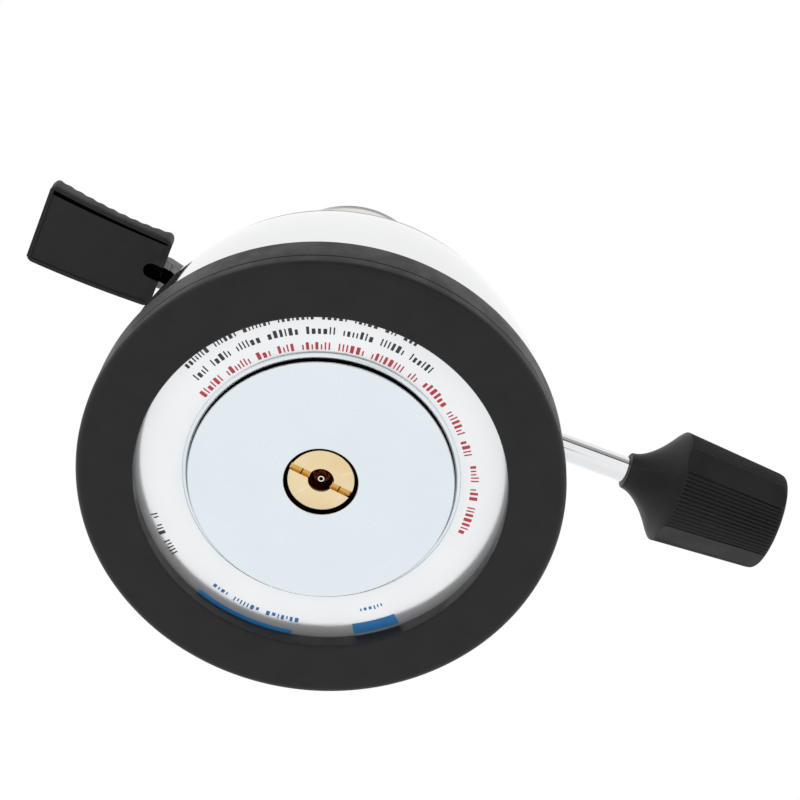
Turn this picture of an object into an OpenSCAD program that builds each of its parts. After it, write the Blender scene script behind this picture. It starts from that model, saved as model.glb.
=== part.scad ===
// Table-top butane burner for siphon coffee makers: a low round tank under a
// polished shell, a flame valve with a side knob, a piezo lever and a burner.
// Z is up, the origin is the centre of the base on the table, the flame knob
// points along +X and the ignition lever along -X.

/* [Base ring] */
// Largest radius of the rubber base ring
ring_r = 44.8; // [44.6:0.1:46]
// Height of the rubber base ring
ring_h = 10.9; // [10:0.1:12]
// Radius of the opening under the base
ring_inner_r = 34.2; // [32:0.1:34.5]
// Radius of the rounded lower outer edge
ring_bead = 2.5; // [2:0.1:2.8]

/* [Tank and shell] */
// Radius of the polished shell where it leaves the base ring
shell_r = 43.8; // [43.5:0.1:43.9]
// Height of the shell's flat deck
deck_z = 42.05; // [41:0.05:43]
// Radius of the shell's gently curved side, seen from the front
shell_bow = 132; // [128:1:140]
// Thickness of the shell's sheet
shell_wall = 0.8; // [0.6:0.1:1]
// Height of the sealed tank's roof
tank_top_z = 28.5; // [27:0.5:29]
// Outer radius of the sealed tank
tank_r = 39.5; // [37:0.5:39.5]

/* [Base plate] */
// Height of the base plate's lower face above the table
plate_z = 4; // [3.5:0.1:4.4]
// Height of the raised disc's face above the table
disc_z = 2; // [1.5:0.1:2.2]
// Radius of the raised disc
disc_r = 24.5; // [23:0.1:25]
// Radius of the hole around the filling valve
valve_hole_r = 6.87; // [6.7:0.01:7]

/* [Flame valve] */
// Height of the valve shaft above the table
shaft_z = 50; // [49.5:0.1:50.5]
// Radius of the steel shaft
shaft_r = 2.6; // [2.5:0.05:2.6]
// Distance from the axis to the knob's neck
knob_x = 62; // [60:0.5:66]
// Length of the knob's cone
knob_cone = 9.4; // [9:0.1:11]
// Length of the knob's grip
knob_grip = 21.9; // [20:0.1:23]
// Knob radius at the shoulder
knob_r = 11.5; // [11:0.1:12]
// Knob radius at the outer end
knob_end_r = 9.95; // [9.5:0.05:10.5]

/* [Ignition lever] */
// Distance of the lever's pivot pin from the axis
pivot_x = 10; // [9.5:0.1:10.5]
// Height of the lever's pivot pin
pivot_z = 56.8; // [56.6:0.05:57]
// Upward tilt of the lever at rest
lever_tilt = 3.4; // [2.5:0.1:4]
// Distance from the pivot to the thumb pad
pad_start = 28.55; // [28.3:0.05:29]
// Length of the thumb pad
pad_len = 26.4; // [25.8:0.1:27]
// Width of the thumb pad at its inner end
pad_w = 15.4; // [15:0.1:16]
// Width of the thumb pad at its outer end
pad_end_w = 17.5; // [16.5:0.1:18]

/* [Burner] */
// Radius of the burner's rim
rim_r = 16.9; // [16:0.1:17.5]
// Overall height
top_z = 90; // [89:0.5:92]

/* [Hidden] */
$fn = 96;

// Clearance between pieces that are fixed together.
fit = 0.03;
// Clearance of pieces that turn in each other.
run = 0.06;

plate_t = 1.2;
plate_top = plate_z + plate_t;
shell_fillet = 1.5;
deck_open_r = 28;

// Centre of the circle that draws the shell's side.
bow_x = shell_r - sqrt(shell_bow * shell_bow - pow(ring_h + 2.7, 2));
bow_z = -2.7;
fillet_z = deck_z - shell_fillet;
fillet_x = bow_x + sqrt(pow(shell_bow - shell_fillet, 2) - pow(fillet_z - bow_z, 2));
fillet_a = atan2(fillet_z - bow_z, fillet_x - bow_x);
bow_a = asin((ring_h - bow_z) / shell_bow);

head_r = 6.22;
head_z = 2.75;
head_t = 1.5;

gasket_t = 0.8;
flange_z = tank_top_z + gasket_t;
flange_t = 2.6;
bracket_z = flange_z + flange_t;
bracket_t = 1.2;
bracket_top = bracket_z + bracket_t;
block_r = 7;
block_top = 57;
nut_h = 3;

screw_ring_r = 32.9;
screw_angles = [90, 210, 330];
housing_wall = 1;
cheek_in = 4.25;
cheek_t = 1;
piezo_x = -20.5;
arm_w = 6.2;
arm_h = 2.9;

lead_x = 0;
lead_y = 9.5;
lead_points = [[-17.4, 0, 42], [-16, 0, 42], [-14.4, 0.9, 42], [-13.6, 3, 42],
  [-13.5, 5, 42.1], [-13.3, 7, 43], [-12.6, 8.7, 45], [-11.4, 10, 48],
  [-9.8, 10.8, 51.5], [-7.6, 11.1, 55], [-5, 11, 58.4], [-2.6, 10.5, 61.6],
  [-0.8, 9.9, 64.6], [0, 9.5, 67], [0, 9.5, 69]];

function arc(cx, cy, r, a0, a1, n) =
  [for (i = [0:n]) [cx + r * cos(a0 + (a1 - a0) * i / n), cy + r * sin(a0 + (a1 - a0) * i / n)]];
function unit(v) = v / norm(v);

// Rings of points square to a path, for a swept tube.
function frame_ring(p, d, r, sides) =
  let (side = unit(cross(d, abs(d[2]) < 0.8 ? [0, 0, 1] : [1, 0, 0])), up = cross(side, d))
  [for (k = [0:sides - 1]) p + r * (cos(360 * k / sides) * side + sin(360 * k / sides) * up)];

// Directions are the mean of the two neighbouring steps.
function path_dir(path, i) =
  unit(path[min(i + 1, len(path) - 1)] - path[max(i - 1, 0)]);

module tube_along(path, r, sides) {
  n = len(path);
  points = [for (i = [0:n - 1]) each frame_ring(path[i], path_dir(path, i), r, sides)];
  walls = [for (i = [0:n - 2], k = [0:sides - 1])
    [i * sides + k, i * sides + (k + 1) % sides,
     (i + 1) * sides + (k + 1) % sides, (i + 1) * sides + k]];
  cap_a = [for (k = [sides - 1:-1:0]) k];
  cap_b = [for (k = [0:sides - 1]) (n - 1) * sides + k];
  polyhedron(points, concat(walls, [cap_a], [cap_b]), convexity = 8);
}

// Compression spring standing on Z, closed turns at both ends.
module coil_spring(coil_r, wire_r, z0, z1, turns) {
  steps = turns * 12;
  path = [for (i = [0:steps]) let (a = 360 * i / 12, t = i / steps)
    [coil_r * cos(a), coil_r * sin(a), z0 + wire_r + (z1 - z0 - 2 * wire_r) * t]];
  tube_along(path, wire_r, 8);
}

module tube(r_out, r_in, z0, z1) {
  translate([0, 0, z0]) difference() {
    cylinder(r = r_out, h = z1 - z0);
    translate([0, 0, -1]) cylinder(r = r_in, h = z1 - z0 + 2);
  }
}

// Lays a shape drawn along +Z so that it runs along +X at the shaft's height.
module along_shaft() {
  translate([0, 0, shaft_z]) rotate([0, 90, 0]) children();
}

// Turns a shape drawn around the pivot so that it points along -X, tilted up.
module at_lever() {
  translate([-pivot_x, 0, pivot_z]) rotate([0, lever_tilt, 0]) mirror([1, 0, 0]) children();
}

module base_ring() {
  wall_r = shell_r + 0.05;
  crease_z = 3.6;
  color("#232325") rotate_extrude() polygon(concat(
    arc(ring_inner_r + 0.6, 0.6, 0.6, 180, 270, 4),
    arc(ring_r - ring_bead, ring_bead, ring_bead, 270, 360, 8),
    [[ring_r - 0.05, crease_z - 0.3], [ring_r - 0.4, crease_z], [ring_r - 0.05, crease_z + 0.3]],
    [[ring_r - 0.5, ring_h - 0.4], [ring_r - 0.8, ring_h], [wall_r, ring_h]],
    [[wall_r, plate_z], [36.2, plate_z], [36.2, plate_z - 0.2]],
    [[ring_inner_r + 0.2, plate_z - 0.2], [ring_inner_r, plate_z - 0.6]]));
}

// The shell's outline, moved inwards by t for its inner face.
function shell_line(t) = concat(
  [[shell_r - t, plate_top], [shell_r - t, ring_h]],
  arc(bow_x, bow_z, shell_bow - t, bow_a + 1, fillet_a, 10),
  arc(fillet_x, fillet_z, shell_fillet - t, fillet_a + 10, 90, 5));

module body_shell() {
  inside = shell_line(shell_wall);
  color("#d9dadb") difference() {
    rotate_extrude() polygon(concat(
      shell_line(0),
      [[deck_open_r, deck_z], [deck_open_r, deck_z - shell_wall]],
      [for (i = [len(inside) - 1:-1:0]) inside[i]]));
    for (a = screw_angles) rotate(a) translate([screw_ring_r, 0, deck_z - 3]) cylinder(r = 1.3, h = 6);
  }
}

module tank_cup() {
  wall = 1;
  curve = 3;
  color("#b9bbbd") difference() {
    rotate_extrude() polygon(concat(
      [[shell_r - shell_wall - 0.1, plate_top], [shell_r - shell_wall - 0.1, plate_top + wall]],
      [[tank_r, plate_top + wall]],
      arc(tank_r - curve, tank_top_z - curve, curve, 0, 90, 5),
      [[4.45, tank_top_z], [4.45, tank_top_z - wall]],
      arc(tank_r - curve, tank_top_z - curve, curve - wall, 90, 0, 5),
      [[tank_r - wall, plate_top]]));
    translate([0, 0, 60]) cube(1);
  }
}

module base_plate() {
  collar_z = 9;
  step_z = 4.7;
  root = 0.8;
  color("#cfd4d8") rotate_extrude() polygon(concat(
    [[valve_hole_r, disc_z + 0.1], [valve_hole_r + 0.1, disc_z]],
    [[disc_r - 0.3, disc_z], [disc_r - 0.05, disc_z + 0.25]],
    arc(disc_r + root, plate_z - root, root, 180, 90, 5),
    [[shell_r, plate_z], [shell_r, plate_top], [disc_r - 1.3, plate_top]],
    [[disc_r - 1.3, disc_z + plate_t], [9, disc_z + plate_t], [9, collar_z]],
    [[4.45, collar_z], [4.45, step_z], [valve_hole_r, step_z]]));
}

module base_label() {
  color("#eceef0") tube(36, disc_r + 1, plate_z - 0.15, plate_z);
}

module filling_valve() {
  bore = 0.8 + run + 0.01;
  color("#c9a662") difference() {
    rotate_extrude() polygon([[2.4, head_z], [head_r - 0.2, head_z], [head_r, head_z + 0.2],
      [head_r, head_z + head_t], [4.42, head_z + head_t], [4.42, 9.2], [4, 9.4], [4, 17],
      [0.5, 17], [0.5, 15.8], [2.2, 15.8], [2.2, 8], [bore, 8], [bore, 5.4], [1.6, 5.2]]);
    rotate(7) translate([2, -0.68, head_z - 1]) cube([6, 1.36, 1.6]);
    rotate(187) translate([2, -0.68, head_z - 1]) cube([6, 1.36, 1.6]);
  }
}

module filling_valve_ring() {
  color("#151515") tube(valve_hole_r - fit, head_r + fit, 3.3, 4.1);
}

module filling_stem() {
  color("#d8c48a") rotate_extrude() polygon([[0.37, 3.4], [0.8, 3.4], [0.8, 8.05],
    [1.9, 8.05], [1.9, 9], [0.8, 9], [0.8, 10.4], [0.37, 10.4]]);
}

module filling_spring() {
  color("#9a9da0") coil_spring(1.45, 0.25, 9, 15.8, 6);
}

module valve_block() {
  seat_x = 2;
  bore_r = 2 + run;
  color("#b8924a") difference() {
    union() {
      translate([0, 0, 22]) cylinder(r = 4.4, h = flange_z - 21.9);
      translate([0, 0, flange_z]) cylinder(r = 8.5, h = flange_t);
      translate([0, 0, flange_z]) cylinder(r = block_r, h = block_top - flange_z);
      translate([0, 0, block_top - 0.1]) cylinder(r = 4.15, h = 2.6);
      along_shaft() cylinder(r = 5.5, h = 14);
    }
    along_shaft() translate([0, 0, seat_x]) cylinder(r = bore_r, h = 10.5);
    along_shaft() translate([0, 0, 12.4]) cylinder(r = 3.95, h = 2);
    along_shaft() cylinder(r = 0.7, h = 3);
    translate([2.6, 0, 21]) cylinder(r = 1.53, h = 4);
    translate([2.6, 0, 21]) cylinder(r = 0.7, h = shaft_z - 21);
    translate([0, 0, shaft_z]) cylinder(r = 0.7, h = 12);
    translate([0, 0, block_top - 1]) cylinder(r = 1.83, h = 5);
  }
}

module valve_gasket() {
  color("#1c1c1c") tube(8.2, 4.45, tank_top_z, flange_z);
}

module takeoff_tube() {
  color("#e6e3d8") translate([2.6, 0, 0]) tube(1.5, 0.8, 18.9, 25);
}

module takeoff_filter() {
  color("#d6cfbe") translate([2.6, 0, 0]) difference() {
    translate([0, 0, 17.5]) cylinder(r = 2.6, h = 4.2);
    translate([0, 0, 18.87]) cylinder(r = 1.53, h = 5);
  }
}

module lock_nut() {
  color("#b9bbbd") difference() {
    translate([0, 0, bracket_top]) cylinder(r = 9.4, h = nut_h, $fn = 6);
    translate([0, 0, bracket_top - 1]) cylinder(r = block_r + fit, h = nut_h + 2);
  }
}

module needle_shaft() {
  color("#c8cacc") along_shaft() difference() {
    rotate_extrude() polygon([[0, 2.1], [0.35, 2.1], [1.3, 4.6], [1.3, 5.6], [2, 5.8],
      [2, 7.8], [1.35, 7.8], [1.35, 9.2], [2, 9.2], [2, 12.55], [shaft_r, 13.1],
      [shaft_r, knob_x + 16], [shaft_r - 0.4, knob_x + 16.4], [0, knob_x + 16.4]]);
    translate([-5, shaft_r - 0.6, knob_x + 3]) cube([10, 5, 20]);
  }
}

module shaft_o_ring() {
  color("#151515") along_shaft() tube(2 + run - 0.02, 1.37, 7.9, 9.1);
}

module gland_nut() {
  color("#c9a662") along_shaft() difference() {
    union() {
      translate([0, 0, 12.5]) cylinder(r = 3.9, h = 2);
      translate([0, 0, 14]) cylinder(r = 5.2, h = 4, $fn = 6);
    }
    translate([0, 0, 12]) cylinder(r = shaft_r + run, h = 8);
  }
}

module shaft_bush() {
  color("#1d1d1f") along_shaft() difference() {
    union() {
      translate([0, 0, 26.4]) cylinder(r = 3.6, h = 4.5);
      translate([0, 0, 30.7]) cylinder(r = 4.8, h = 1.2);
    }
    translate([0, 0, 25]) cylinder(r = shaft_r + run + 0.02, h = 10);
  }
}

module knob() {
  shoulder = knob_x + knob_cone;
  end = shoulder + knob_grip;
  taper = atan((knob_r - knob_end_r) / knob_grip);
  flat_half = 13.8;
  flat_d = knob_r * cos(flat_half);
  color("#1f1f21") along_shaft() difference() {
    rotate_extrude() polygon(concat(
      [[shaft_r + 0.02, knob_x], [3.4, knob_x], [3.7, knob_x + 0.3]],
      [for (i = [1:7]) let (t = i / 8)
        [3.75 + (knob_r - 4.05) * pow(t, 1.7), knob_x + 0.5 + (knob_cone - 0.7) * t]],
      [[knob_r - 0.25, shoulder - 0.15], [knob_r, shoulder + 0.1]],
      arc(knob_end_r - 1, end - 1, 1, 0, 90, 5),
      [[0, end], [0, knob_x + 17], [shaft_r + 0.02, knob_x + 17]]));
    for (k = [0:3]) rotate([0, 0, 29.3 + 90 * k]) translate([flat_d, -10, shoulder])
      rotate([0, -taper, 0]) translate([0, 0, -4]) cube([10, 20, knob_grip + 10]);
    for (k = [0:3], i = [0:12]) rotate([0, 0, -15.7 + 90 * k + 4.4 * (i - 6)])
      translate([knob_r + 0.05, 0, shoulder]) rotate([0, -taper, 0]) rotate([0, 0, 45])
        translate([-0.3, -0.3, 0.6]) cube([0.6, 0.6, knob_grip + 5]);
    translate([0, 0, knob_x + 6]) rotate([0, -90, 0]) cylinder(r = 1.5, h = 20);
  }
}

module knob_set_screw() {
  color("#6d6f72") translate([knob_x + 6, 0, shaft_z]) difference() {
    translate([0, 0, shaft_r + 0.05]) cylinder(r = 1.47, h = 2.6);
    translate([0, 0, shaft_r + 1.4]) cylinder(r = 0.8, h = 3, $fn = 6);
  }
}

module gas_jet() {
  color("#c9a662") difference() {
    rotate_extrude() polygon([[0.4, block_top - 0.9], [1.8, block_top - 0.9],
      [1.8, block_top + 2.6], [1.2, block_top + 4], [0.15, block_top + 4],
      [0.15, block_top + 3], [0.4, block_top + 2.8]]);
    translate([0, 0, block_top + 2.4]) tube(3, 1.5, 0, 0.4);
  }
}

module mixing_tube() {
  color("#c4c6c8") difference() {
    tube(5, 4.2, block_top, 75);
    for (a = [45:90:315]) rotate(a) translate([0, 0, block_top + 4.6])
      rotate([0, 90, 0]) cylinder(r = 1.3, h = 8);
  }
}

module burner_bowl() {
  wall = 0.8;
  color("#bfc1c3") difference() {
    rotate_extrude() polygon([[5.03, 69], [5.9, 69], [5.9, 71.5], [14.6, 77.4], [15.2, 78.6],
      [15.2, 84], [15.2 - wall, 84], [15.2 - wall, 79], [14, 78.3], [5.9, 72.6], [5.03, 72.6]]);
    translate([lead_x, lead_y, 68]) cylinder(r = 1.78, h = 14);
  }
}

module burner_screen() {
  color("#8f8a84") difference() {
    translate([0, 0, 82]) cylinder(r = 14.36, h = 1.2);
    translate([lead_x, lead_y, 80]) cylinder(r = 1.85, h = 5);
    for (ring = [1:4], k = [0:6 * ring - 1]) let (a = 60 * k / ring, r = 2.9 * ring)
      if (norm([r * cos(a) - lead_x, r * sin(a) - lead_y]) > 3)
        translate([r * cos(a), r * sin(a), 81]) cylinder(r = 0.8, h = 4);
  }
}

module wind_ring() {
  wall = 0.7;
  color("#c9cbcd") difference() {
    rotate_extrude() polygon([[15.23, 79], [15.95, 79], [15.95, 83.5], [rim_r - 0.1, top_z - 0.4],
      [rim_r, top_z - 0.15], [rim_r - 0.15, top_z], [rim_r - wall, top_z],
      [rim_r - wall - 0.15, top_z - 0.5], [15.23, 84]]);
    for (k = [0:11]) rotate(15 + 30 * k) translate([10, -1.1, 84.6]) cube([10, 2.2, 2.4]);
  }
}

module upper_housing() {
  outside = [[34.9, deck_z], [34.9, deck_z + 0.8], [31, deck_z + 0.8], [30.6, 44], [29.4, 47],
    [28.3, 50.5], [26.4, 55], [22.6, 60], [17.6, 64.3], [13, 66]];
  w = housing_wall;
  inside = [[12.6, 66 - w], [17, 64.3 - w], [21.8, 60 - w * 0.7], [25.5, 55 - w * 0.5],
    [27.4, 50.3], [28.5, 46.7], [29.7, deck_z]];
  color("#d4d5d6") difference() {
    rotate_extrude() polygon(concat(outside, [[12.6, 66]], inside));
    along_shaft() translate([0, 0, 20]) cylinder(r = 3.6 + fit, h = 20);
    translate([-35, -3.6, 51]) cube([20, 7.2, 11.5]);
    for (k = [0:13]) rotate(180 / 7 * k + 180 / 14) translate([20, -1.2, 47.2]) cube([14, 2.4, 5.2]);
    for (a = screw_angles) rotate(a) translate([screw_ring_r, 0, deck_z - 1]) cylinder(r = 1.3, h = 4);
  }
}

module housing_screws() {
  z = deck_z + 0.8;
  color("#a9abad") for (a = screw_angles) rotate(a) translate([screw_ring_r, 0, 0]) difference() {
    union() {
      translate([0, 0, z]) cylinder(r = 1.75, h = 0.9);
      translate([0, 0, z - 5]) cylinder(r = 1.25, h = 5.1);
    }
    translate([-0.3, -3, z + 0.5]) cube([0.6, 6, 1]);
  }
}

module cheek() {
  rotate([90, 0, 0]) linear_extrude(cheek_t) polygon([[-10.2, bracket_z], [-10.2, 40], [-7.8, 44],
    [-7.8, pivot_z + 3], [-12.5, pivot_z + 3], [-24.3, 52.5], [-24.3, bracket_z]]);
}

module lever_bracket() {
  color("#a4a7aa") difference() {
    union() {
      translate([0, cheek_in + cheek_t, 0]) cheek();
      translate([0, -cheek_in, 0]) cheek();
      translate([0, 0, bracket_z]) cylinder(r = 10.2, h = bracket_t);
      translate([-24.3, -cheek_in - cheek_t, bracket_z])
        cube([20, 2 * (cheek_in + cheek_t), bracket_t]);
    }
    translate([0, 0, bracket_z - 1]) cylinder(r = block_r + fit, h = 4);
    translate([-pivot_x, 8, pivot_z]) rotate([90, 0, 0]) cylinder(r = 1 + fit, h = 16);
    translate([-13.5, 8, 42.1]) rotate([90, 0, 0]) cylinder(r = 1.6, h = 6);
  }
}

module pivot_pin() {
  half = cheek_in + cheek_t;
  color("#b9bbbd") translate([-pivot_x, 0, pivot_z]) rotate([90, 0, 0]) union() {
    translate([0, 0, -half - 0.8]) cylinder(r = 1, h = 2 * half + 1.6);
    translate([0, 0, half]) cylinder(r = 1.7, h = 0.8);
    translate([0, 0, -half - 0.8]) cylinder(r = 1.7, h = 0.8);
  }
}

// Side shape pulled through a width, drawn with X outwards and Z up.
module side_prism(points, width) {
  translate([0, width / 2, 0]) rotate([90, 0, 0]) linear_extrude(width) polygon(points);
}

module lever_arm() {
  leg = 1.5;
  roof = 0.8;
  half = arm_h / 2;
  rise = 3.4;
  low = half - roof;
  color("#9fa2a5") at_lever() difference() {
    union() {
      side_prism([[0, -half], [21, -half], [28, -half + rise], [pad_start - 0.3, -half + rise],
        [pad_start - 0.3, half + rise], [27.6, half + rise], [20.6, half], [0, half]], arm_w);
      rotate([90, 0, 0]) translate([0, 0, -arm_w / 2]) cylinder(r = half, h = arm_w);
      translate([27.4, -arm_w / 2, 2.9]) cube([pad_start + 7.5 - 27.4, arm_w, roof]);
    }
    side_prism([[-5, -5], [-5, low], [20.8, low], [27.8, low + rise], [pad_start - 0.25, low + rise],
      [pad_start - 0.25, 2.85], [pad_start + 9, 2.85], [pad_start + 9, -5]], arm_w - 2 * leg);
    translate([0, arm_w, 0]) rotate([90, 0, 0]) cylinder(r = 1 + run, h = 2 * arm_w);
  }
}

// Foot and top of the thumb pad, u millimetres from its inner end.
function pad_foot(u) = 1.65 + (u > 6 ? 1.85 * pow((u - 6) / 20.4, 2) : 0);
function pad_top(u) = 4.5 + (u > 9 ? 2.85 * pow((u - 9) / 16.4, 1.8) : 0.0188 * pow(9 - u, 2))
  + 0.17 * cos(360 * (max(u, 1.18) - 3.6) / 2.42);

// Drop of a rounded end, at a distance from it.
function round_off(d, reach, drop) = d < reach ? drop * (1 - sqrt(1 - pow(1 - d / reach, 2))) : 0;

// Plan of the pad, moved inwards by t, with rounded corners.
function pad_plan(t) =
  let (r = max(1.4 - t, 0.5), a = pad_w / 2 - t - r, b = pad_end_w / 2 - t - r)
  concat(arc(pad_len - t - r, b, r, 0, 90, 4), arc(t + r, a, r, 90, 180, 4),
    arc(t + r, -a, r, 180, 270, 4), arc(pad_len - t - r, -b, r, 270, 360, 4));

module pad_prism(t, z0, z1) {
  translate([pad_start, 0, z0]) linear_extrude(z1 - z0) polygon(pad_plan(t));
}

module lever_pad() {
  steps = 66;
  foot = [for (i = [0:12]) let (u = pad_len * i / 12) [pad_start + u, pad_foot(u)]];
  head = [for (i = [steps:-1:0]) let (u = pad_len * i / steps)
    [pad_start + u, pad_top(u) - round_off(u, 1, 0.9) - round_off(pad_len - u, 1.6, 1.4)]];
  sunk = [for (i = [12:-1:0]) let (u = pad_len * i / 12) [pad_start + u, pad_foot(u) + 0.55]];
  color("#242426") at_lever() difference() {
    intersection() {
      side_prism(concat(foot, head), 20);
      pad_prism(0, 0, 10);
    }
    intersection() {
      side_prism(concat([[pad_start, 0], [pad_start + pad_len, 0]], sunk), 20);
      pad_prism(0.9, -1, 6);
    }
    translate([pad_start - 1, -arm_w / 2 - fit, 2.9 - fit]) cube([8.53, arm_w + 2 * fit, 0.8 + 2 * fit]);
    translate([pad_start - 1, -1.6, 0]) cube([3.1, 3.2, 3]);
    translate([pad_start + 2.1, 0, 0]) cylinder(r = 1.6, h = 3);
  }
}

module piezo_case() {
  color("#e9e9e6") difference() {
    translate([piezo_x - 3, -cheek_in + 0.05, bracket_top]) cube([6, 2 * cheek_in - 0.1, 19]);
    translate([piezo_x - 2.55, -3.55, 40.5]) cube([5.1, 7.1, 20]);
    translate([piezo_x, 0, 35.4]) cylinder(r = 2.3, h = 8);
  }
}

module piezo_plunger() {
  crown_r = 8;
  top = pivot_z - 0.95;
  color("#2c2c2e") intersection() {
    translate([piezo_x - 2.5, -3.5, 44]) cube([5, 7, 20]);
    translate([piezo_x, 5, top - crown_r]) rotate([90, 0, 0]) union() {
      cylinder(r = crown_r, h = 10);
      translate([-5, -20, 0]) cube([10, 20, 10]);
    }
  }
}

module piezo_spring() {
  color("#9a9da0") translate([piezo_x, 0, 0]) coil_spring(1.8, 0.3, 35.4, 44, 6);
}

module ignition_lead() {
  color("#b8281e") tube_along(lead_points, 0.9, 10);
}

module electrode_insulator() {
  color("#f0eee8") translate([lead_x, lead_y, 0]) difference() {
    translate([0, 0, 69]) cylinder(r = 1.75, h = 15);
    translate([0, 0, 68]) cylinder(r = 0.53, h = 17);
  }
}

module electrode_pin() {
  color("#9a9da0") translate([lead_x, lead_y, 0]) union() {
    translate([0, 0, 69]) cylinder(r = 0.5, h = 17.5);
    translate([0, 0.5, 86.5]) rotate([90, 0, 0]) cylinder(r = 0.5, h = 4.5);
  }
}

base_ring();
body_shell();
tank_cup();
base_plate();
base_label();
filling_valve();
filling_valve_ring();
filling_stem();
filling_spring();
valve_block();
valve_gasket();
takeoff_tube();
takeoff_filter();
lock_nut();
needle_shaft();
shaft_o_ring();
gland_nut();
shaft_bush();
knob();
knob_set_screw();
gas_jet();
mixing_tube();
burner_bowl();
burner_screen();
wind_ring();
upper_housing();
housing_screws();
lever_bracket();
pivot_pin();
lever_arm();
lever_pad();
piezo_case();
piezo_plunger();
piezo_spring();
ignition_lead();
electrode_insulator();
electrode_pin();
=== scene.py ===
"""Looks of a small table-top butane burner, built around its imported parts.

Every size is in millimetres until a mesh is made. Z is up, the origin is the
centre of the base on the table, the flame knob points along +X and the
ignition lever along -X.
"""

import logging
import math
import random
from collections.abc import Callable, Sequence
from dataclasses import dataclass
from enum import Enum

import bmesh
import bpy
from mathutils import Matrix, Vector


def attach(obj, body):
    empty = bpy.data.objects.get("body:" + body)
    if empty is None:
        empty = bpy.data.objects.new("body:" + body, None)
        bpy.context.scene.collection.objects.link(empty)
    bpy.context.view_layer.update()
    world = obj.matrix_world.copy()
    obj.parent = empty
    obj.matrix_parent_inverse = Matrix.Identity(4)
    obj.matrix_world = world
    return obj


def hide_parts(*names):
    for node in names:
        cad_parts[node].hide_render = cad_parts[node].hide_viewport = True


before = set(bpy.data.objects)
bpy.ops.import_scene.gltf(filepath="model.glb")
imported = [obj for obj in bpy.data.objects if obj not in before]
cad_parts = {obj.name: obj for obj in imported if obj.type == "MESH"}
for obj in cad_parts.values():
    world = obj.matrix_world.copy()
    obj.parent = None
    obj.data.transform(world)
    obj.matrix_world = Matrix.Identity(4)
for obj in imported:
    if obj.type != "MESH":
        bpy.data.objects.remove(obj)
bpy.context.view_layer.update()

logging.basicConfig(level=logging.INFO, format="%(name)s: %(message)s")
log = logging.getLogger("burner")

MM = 0.001
MERGE = 0.0000004
CRISP = 32.0
RGB = tuple[float, float, float]
Point2 = tuple[float, float]
Corner = tuple[float, float, float]
Point3 = tuple[float, float, float]


class Body(str, Enum):
    """The moving groups of the burner."""

    MAIN = "burner"
    KNOB = "flame_knob"
    LEVER = "ignition_lever"
    STEM = "filling_stem"


class Axis(Enum):
    """The line a turned piece is turned about."""

    UPRIGHT = 0
    SHAFT = 1


class Marks(Enum):
    """The tool marks that a surface carries."""

    NONE = 0
    TURNED = 1


# ---------------------------------------------------------------------------
# Shader effects
# ---------------------------------------------------------------------------


class Graph:
    """Adds nodes and links to one node tree."""

    def __init__(self, tree: bpy.types.NodeTree) -> None:
        """Starts on a tree that is already there."""
        self.tree = tree

    def node(self, kind: str, **settings: object) -> bpy.types.Node:
        """Adds a node.

        Args:
            kind: Blender's name of the node type.
            settings: attributes of the node.

        Returns:
            The new node.
        """
        made = self.tree.nodes.new(kind)
        for name, value in settings.items():
            setattr(made, name, value)
        return made

    def put(self, socket: bpy.types.NodeSocket, value: object) -> None:
        """Links a socket to another one, or sets its value."""
        if isinstance(value, bpy.types.NodeSocket):
            self.tree.links.new(value, socket)
        elif value is not None:
            socket.default_value = value

    def math(self, operation: str, first: object, second: object = None, clamp: bool = False) -> bpy.types.NodeSocket:
        """Adds a Math node.

        Args:
            operation: the node's operation.
            first: first value or socket.
            second: second value or socket, where the operation has one.
            clamp: whether the result is kept between 0 and 1.

        Returns:
            The result.
        """
        made = self.node("ShaderNodeMath", operation=operation, use_clamp=clamp)
        self.put(made.inputs[0], first)
        self.put(made.inputs[1], second)
        return made.outputs[0]

    def ramp(self, value: object, low: float, high: float, to_low: object = 0.0,
             to_high: object = 1.0) -> bpy.types.NodeSocket:
        """Maps a value from one range smoothly to another.

        Args:
            value: the value's socket.
            low: start of the range.
            high: end of the range.
            to_low: result at the start.
            to_high: result at the end.

        Returns:
            The mapped value.
        """
        made = self.node("ShaderNodeMapRange", interpolation_type="SMOOTHSTEP")
        for socket, item in zip(made.inputs, (value, low, high, to_low, to_high)):
            self.put(socket, item)
        return made.outputs[0]

    def mix(self, share: object, first: object, second: object) -> bpy.types.NodeSocket:
        """Mixes two colours.

        Args:
            share: how much of the second colour shows.
            first: colour or socket.
            second: colour or socket.

        Returns:
            The mixed colour.
        """
        made = self.node("ShaderNodeMix", data_type="RGBA")
        for index, item in ((0, share), (6, first), (7, second)):
            self.put(made.inputs[index], (*item, 1.0) if isinstance(item, tuple) else item)
        return made.outputs[2]

    def noise(self, vector: object, scale: object, detail: float = 3.0, rough: float = 0.55) -> bpy.types.NodeSocket:
        """Adds a Noise Texture.

        Args:
            vector: where the noise is read.
            scale: its size, per unit of the vector.
            detail: how many finer layers it has.
            rough: how strong those layers are.

        Returns:
            The noise value.
        """
        made = self.node("ShaderNodeTexNoise")
        for name, item in (("Vector", vector), ("Scale", scale), ("Detail", detail), ("Roughness", rough)):
            self.put(made.inputs[name], item)
        return made.outputs["Fac"]


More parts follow.
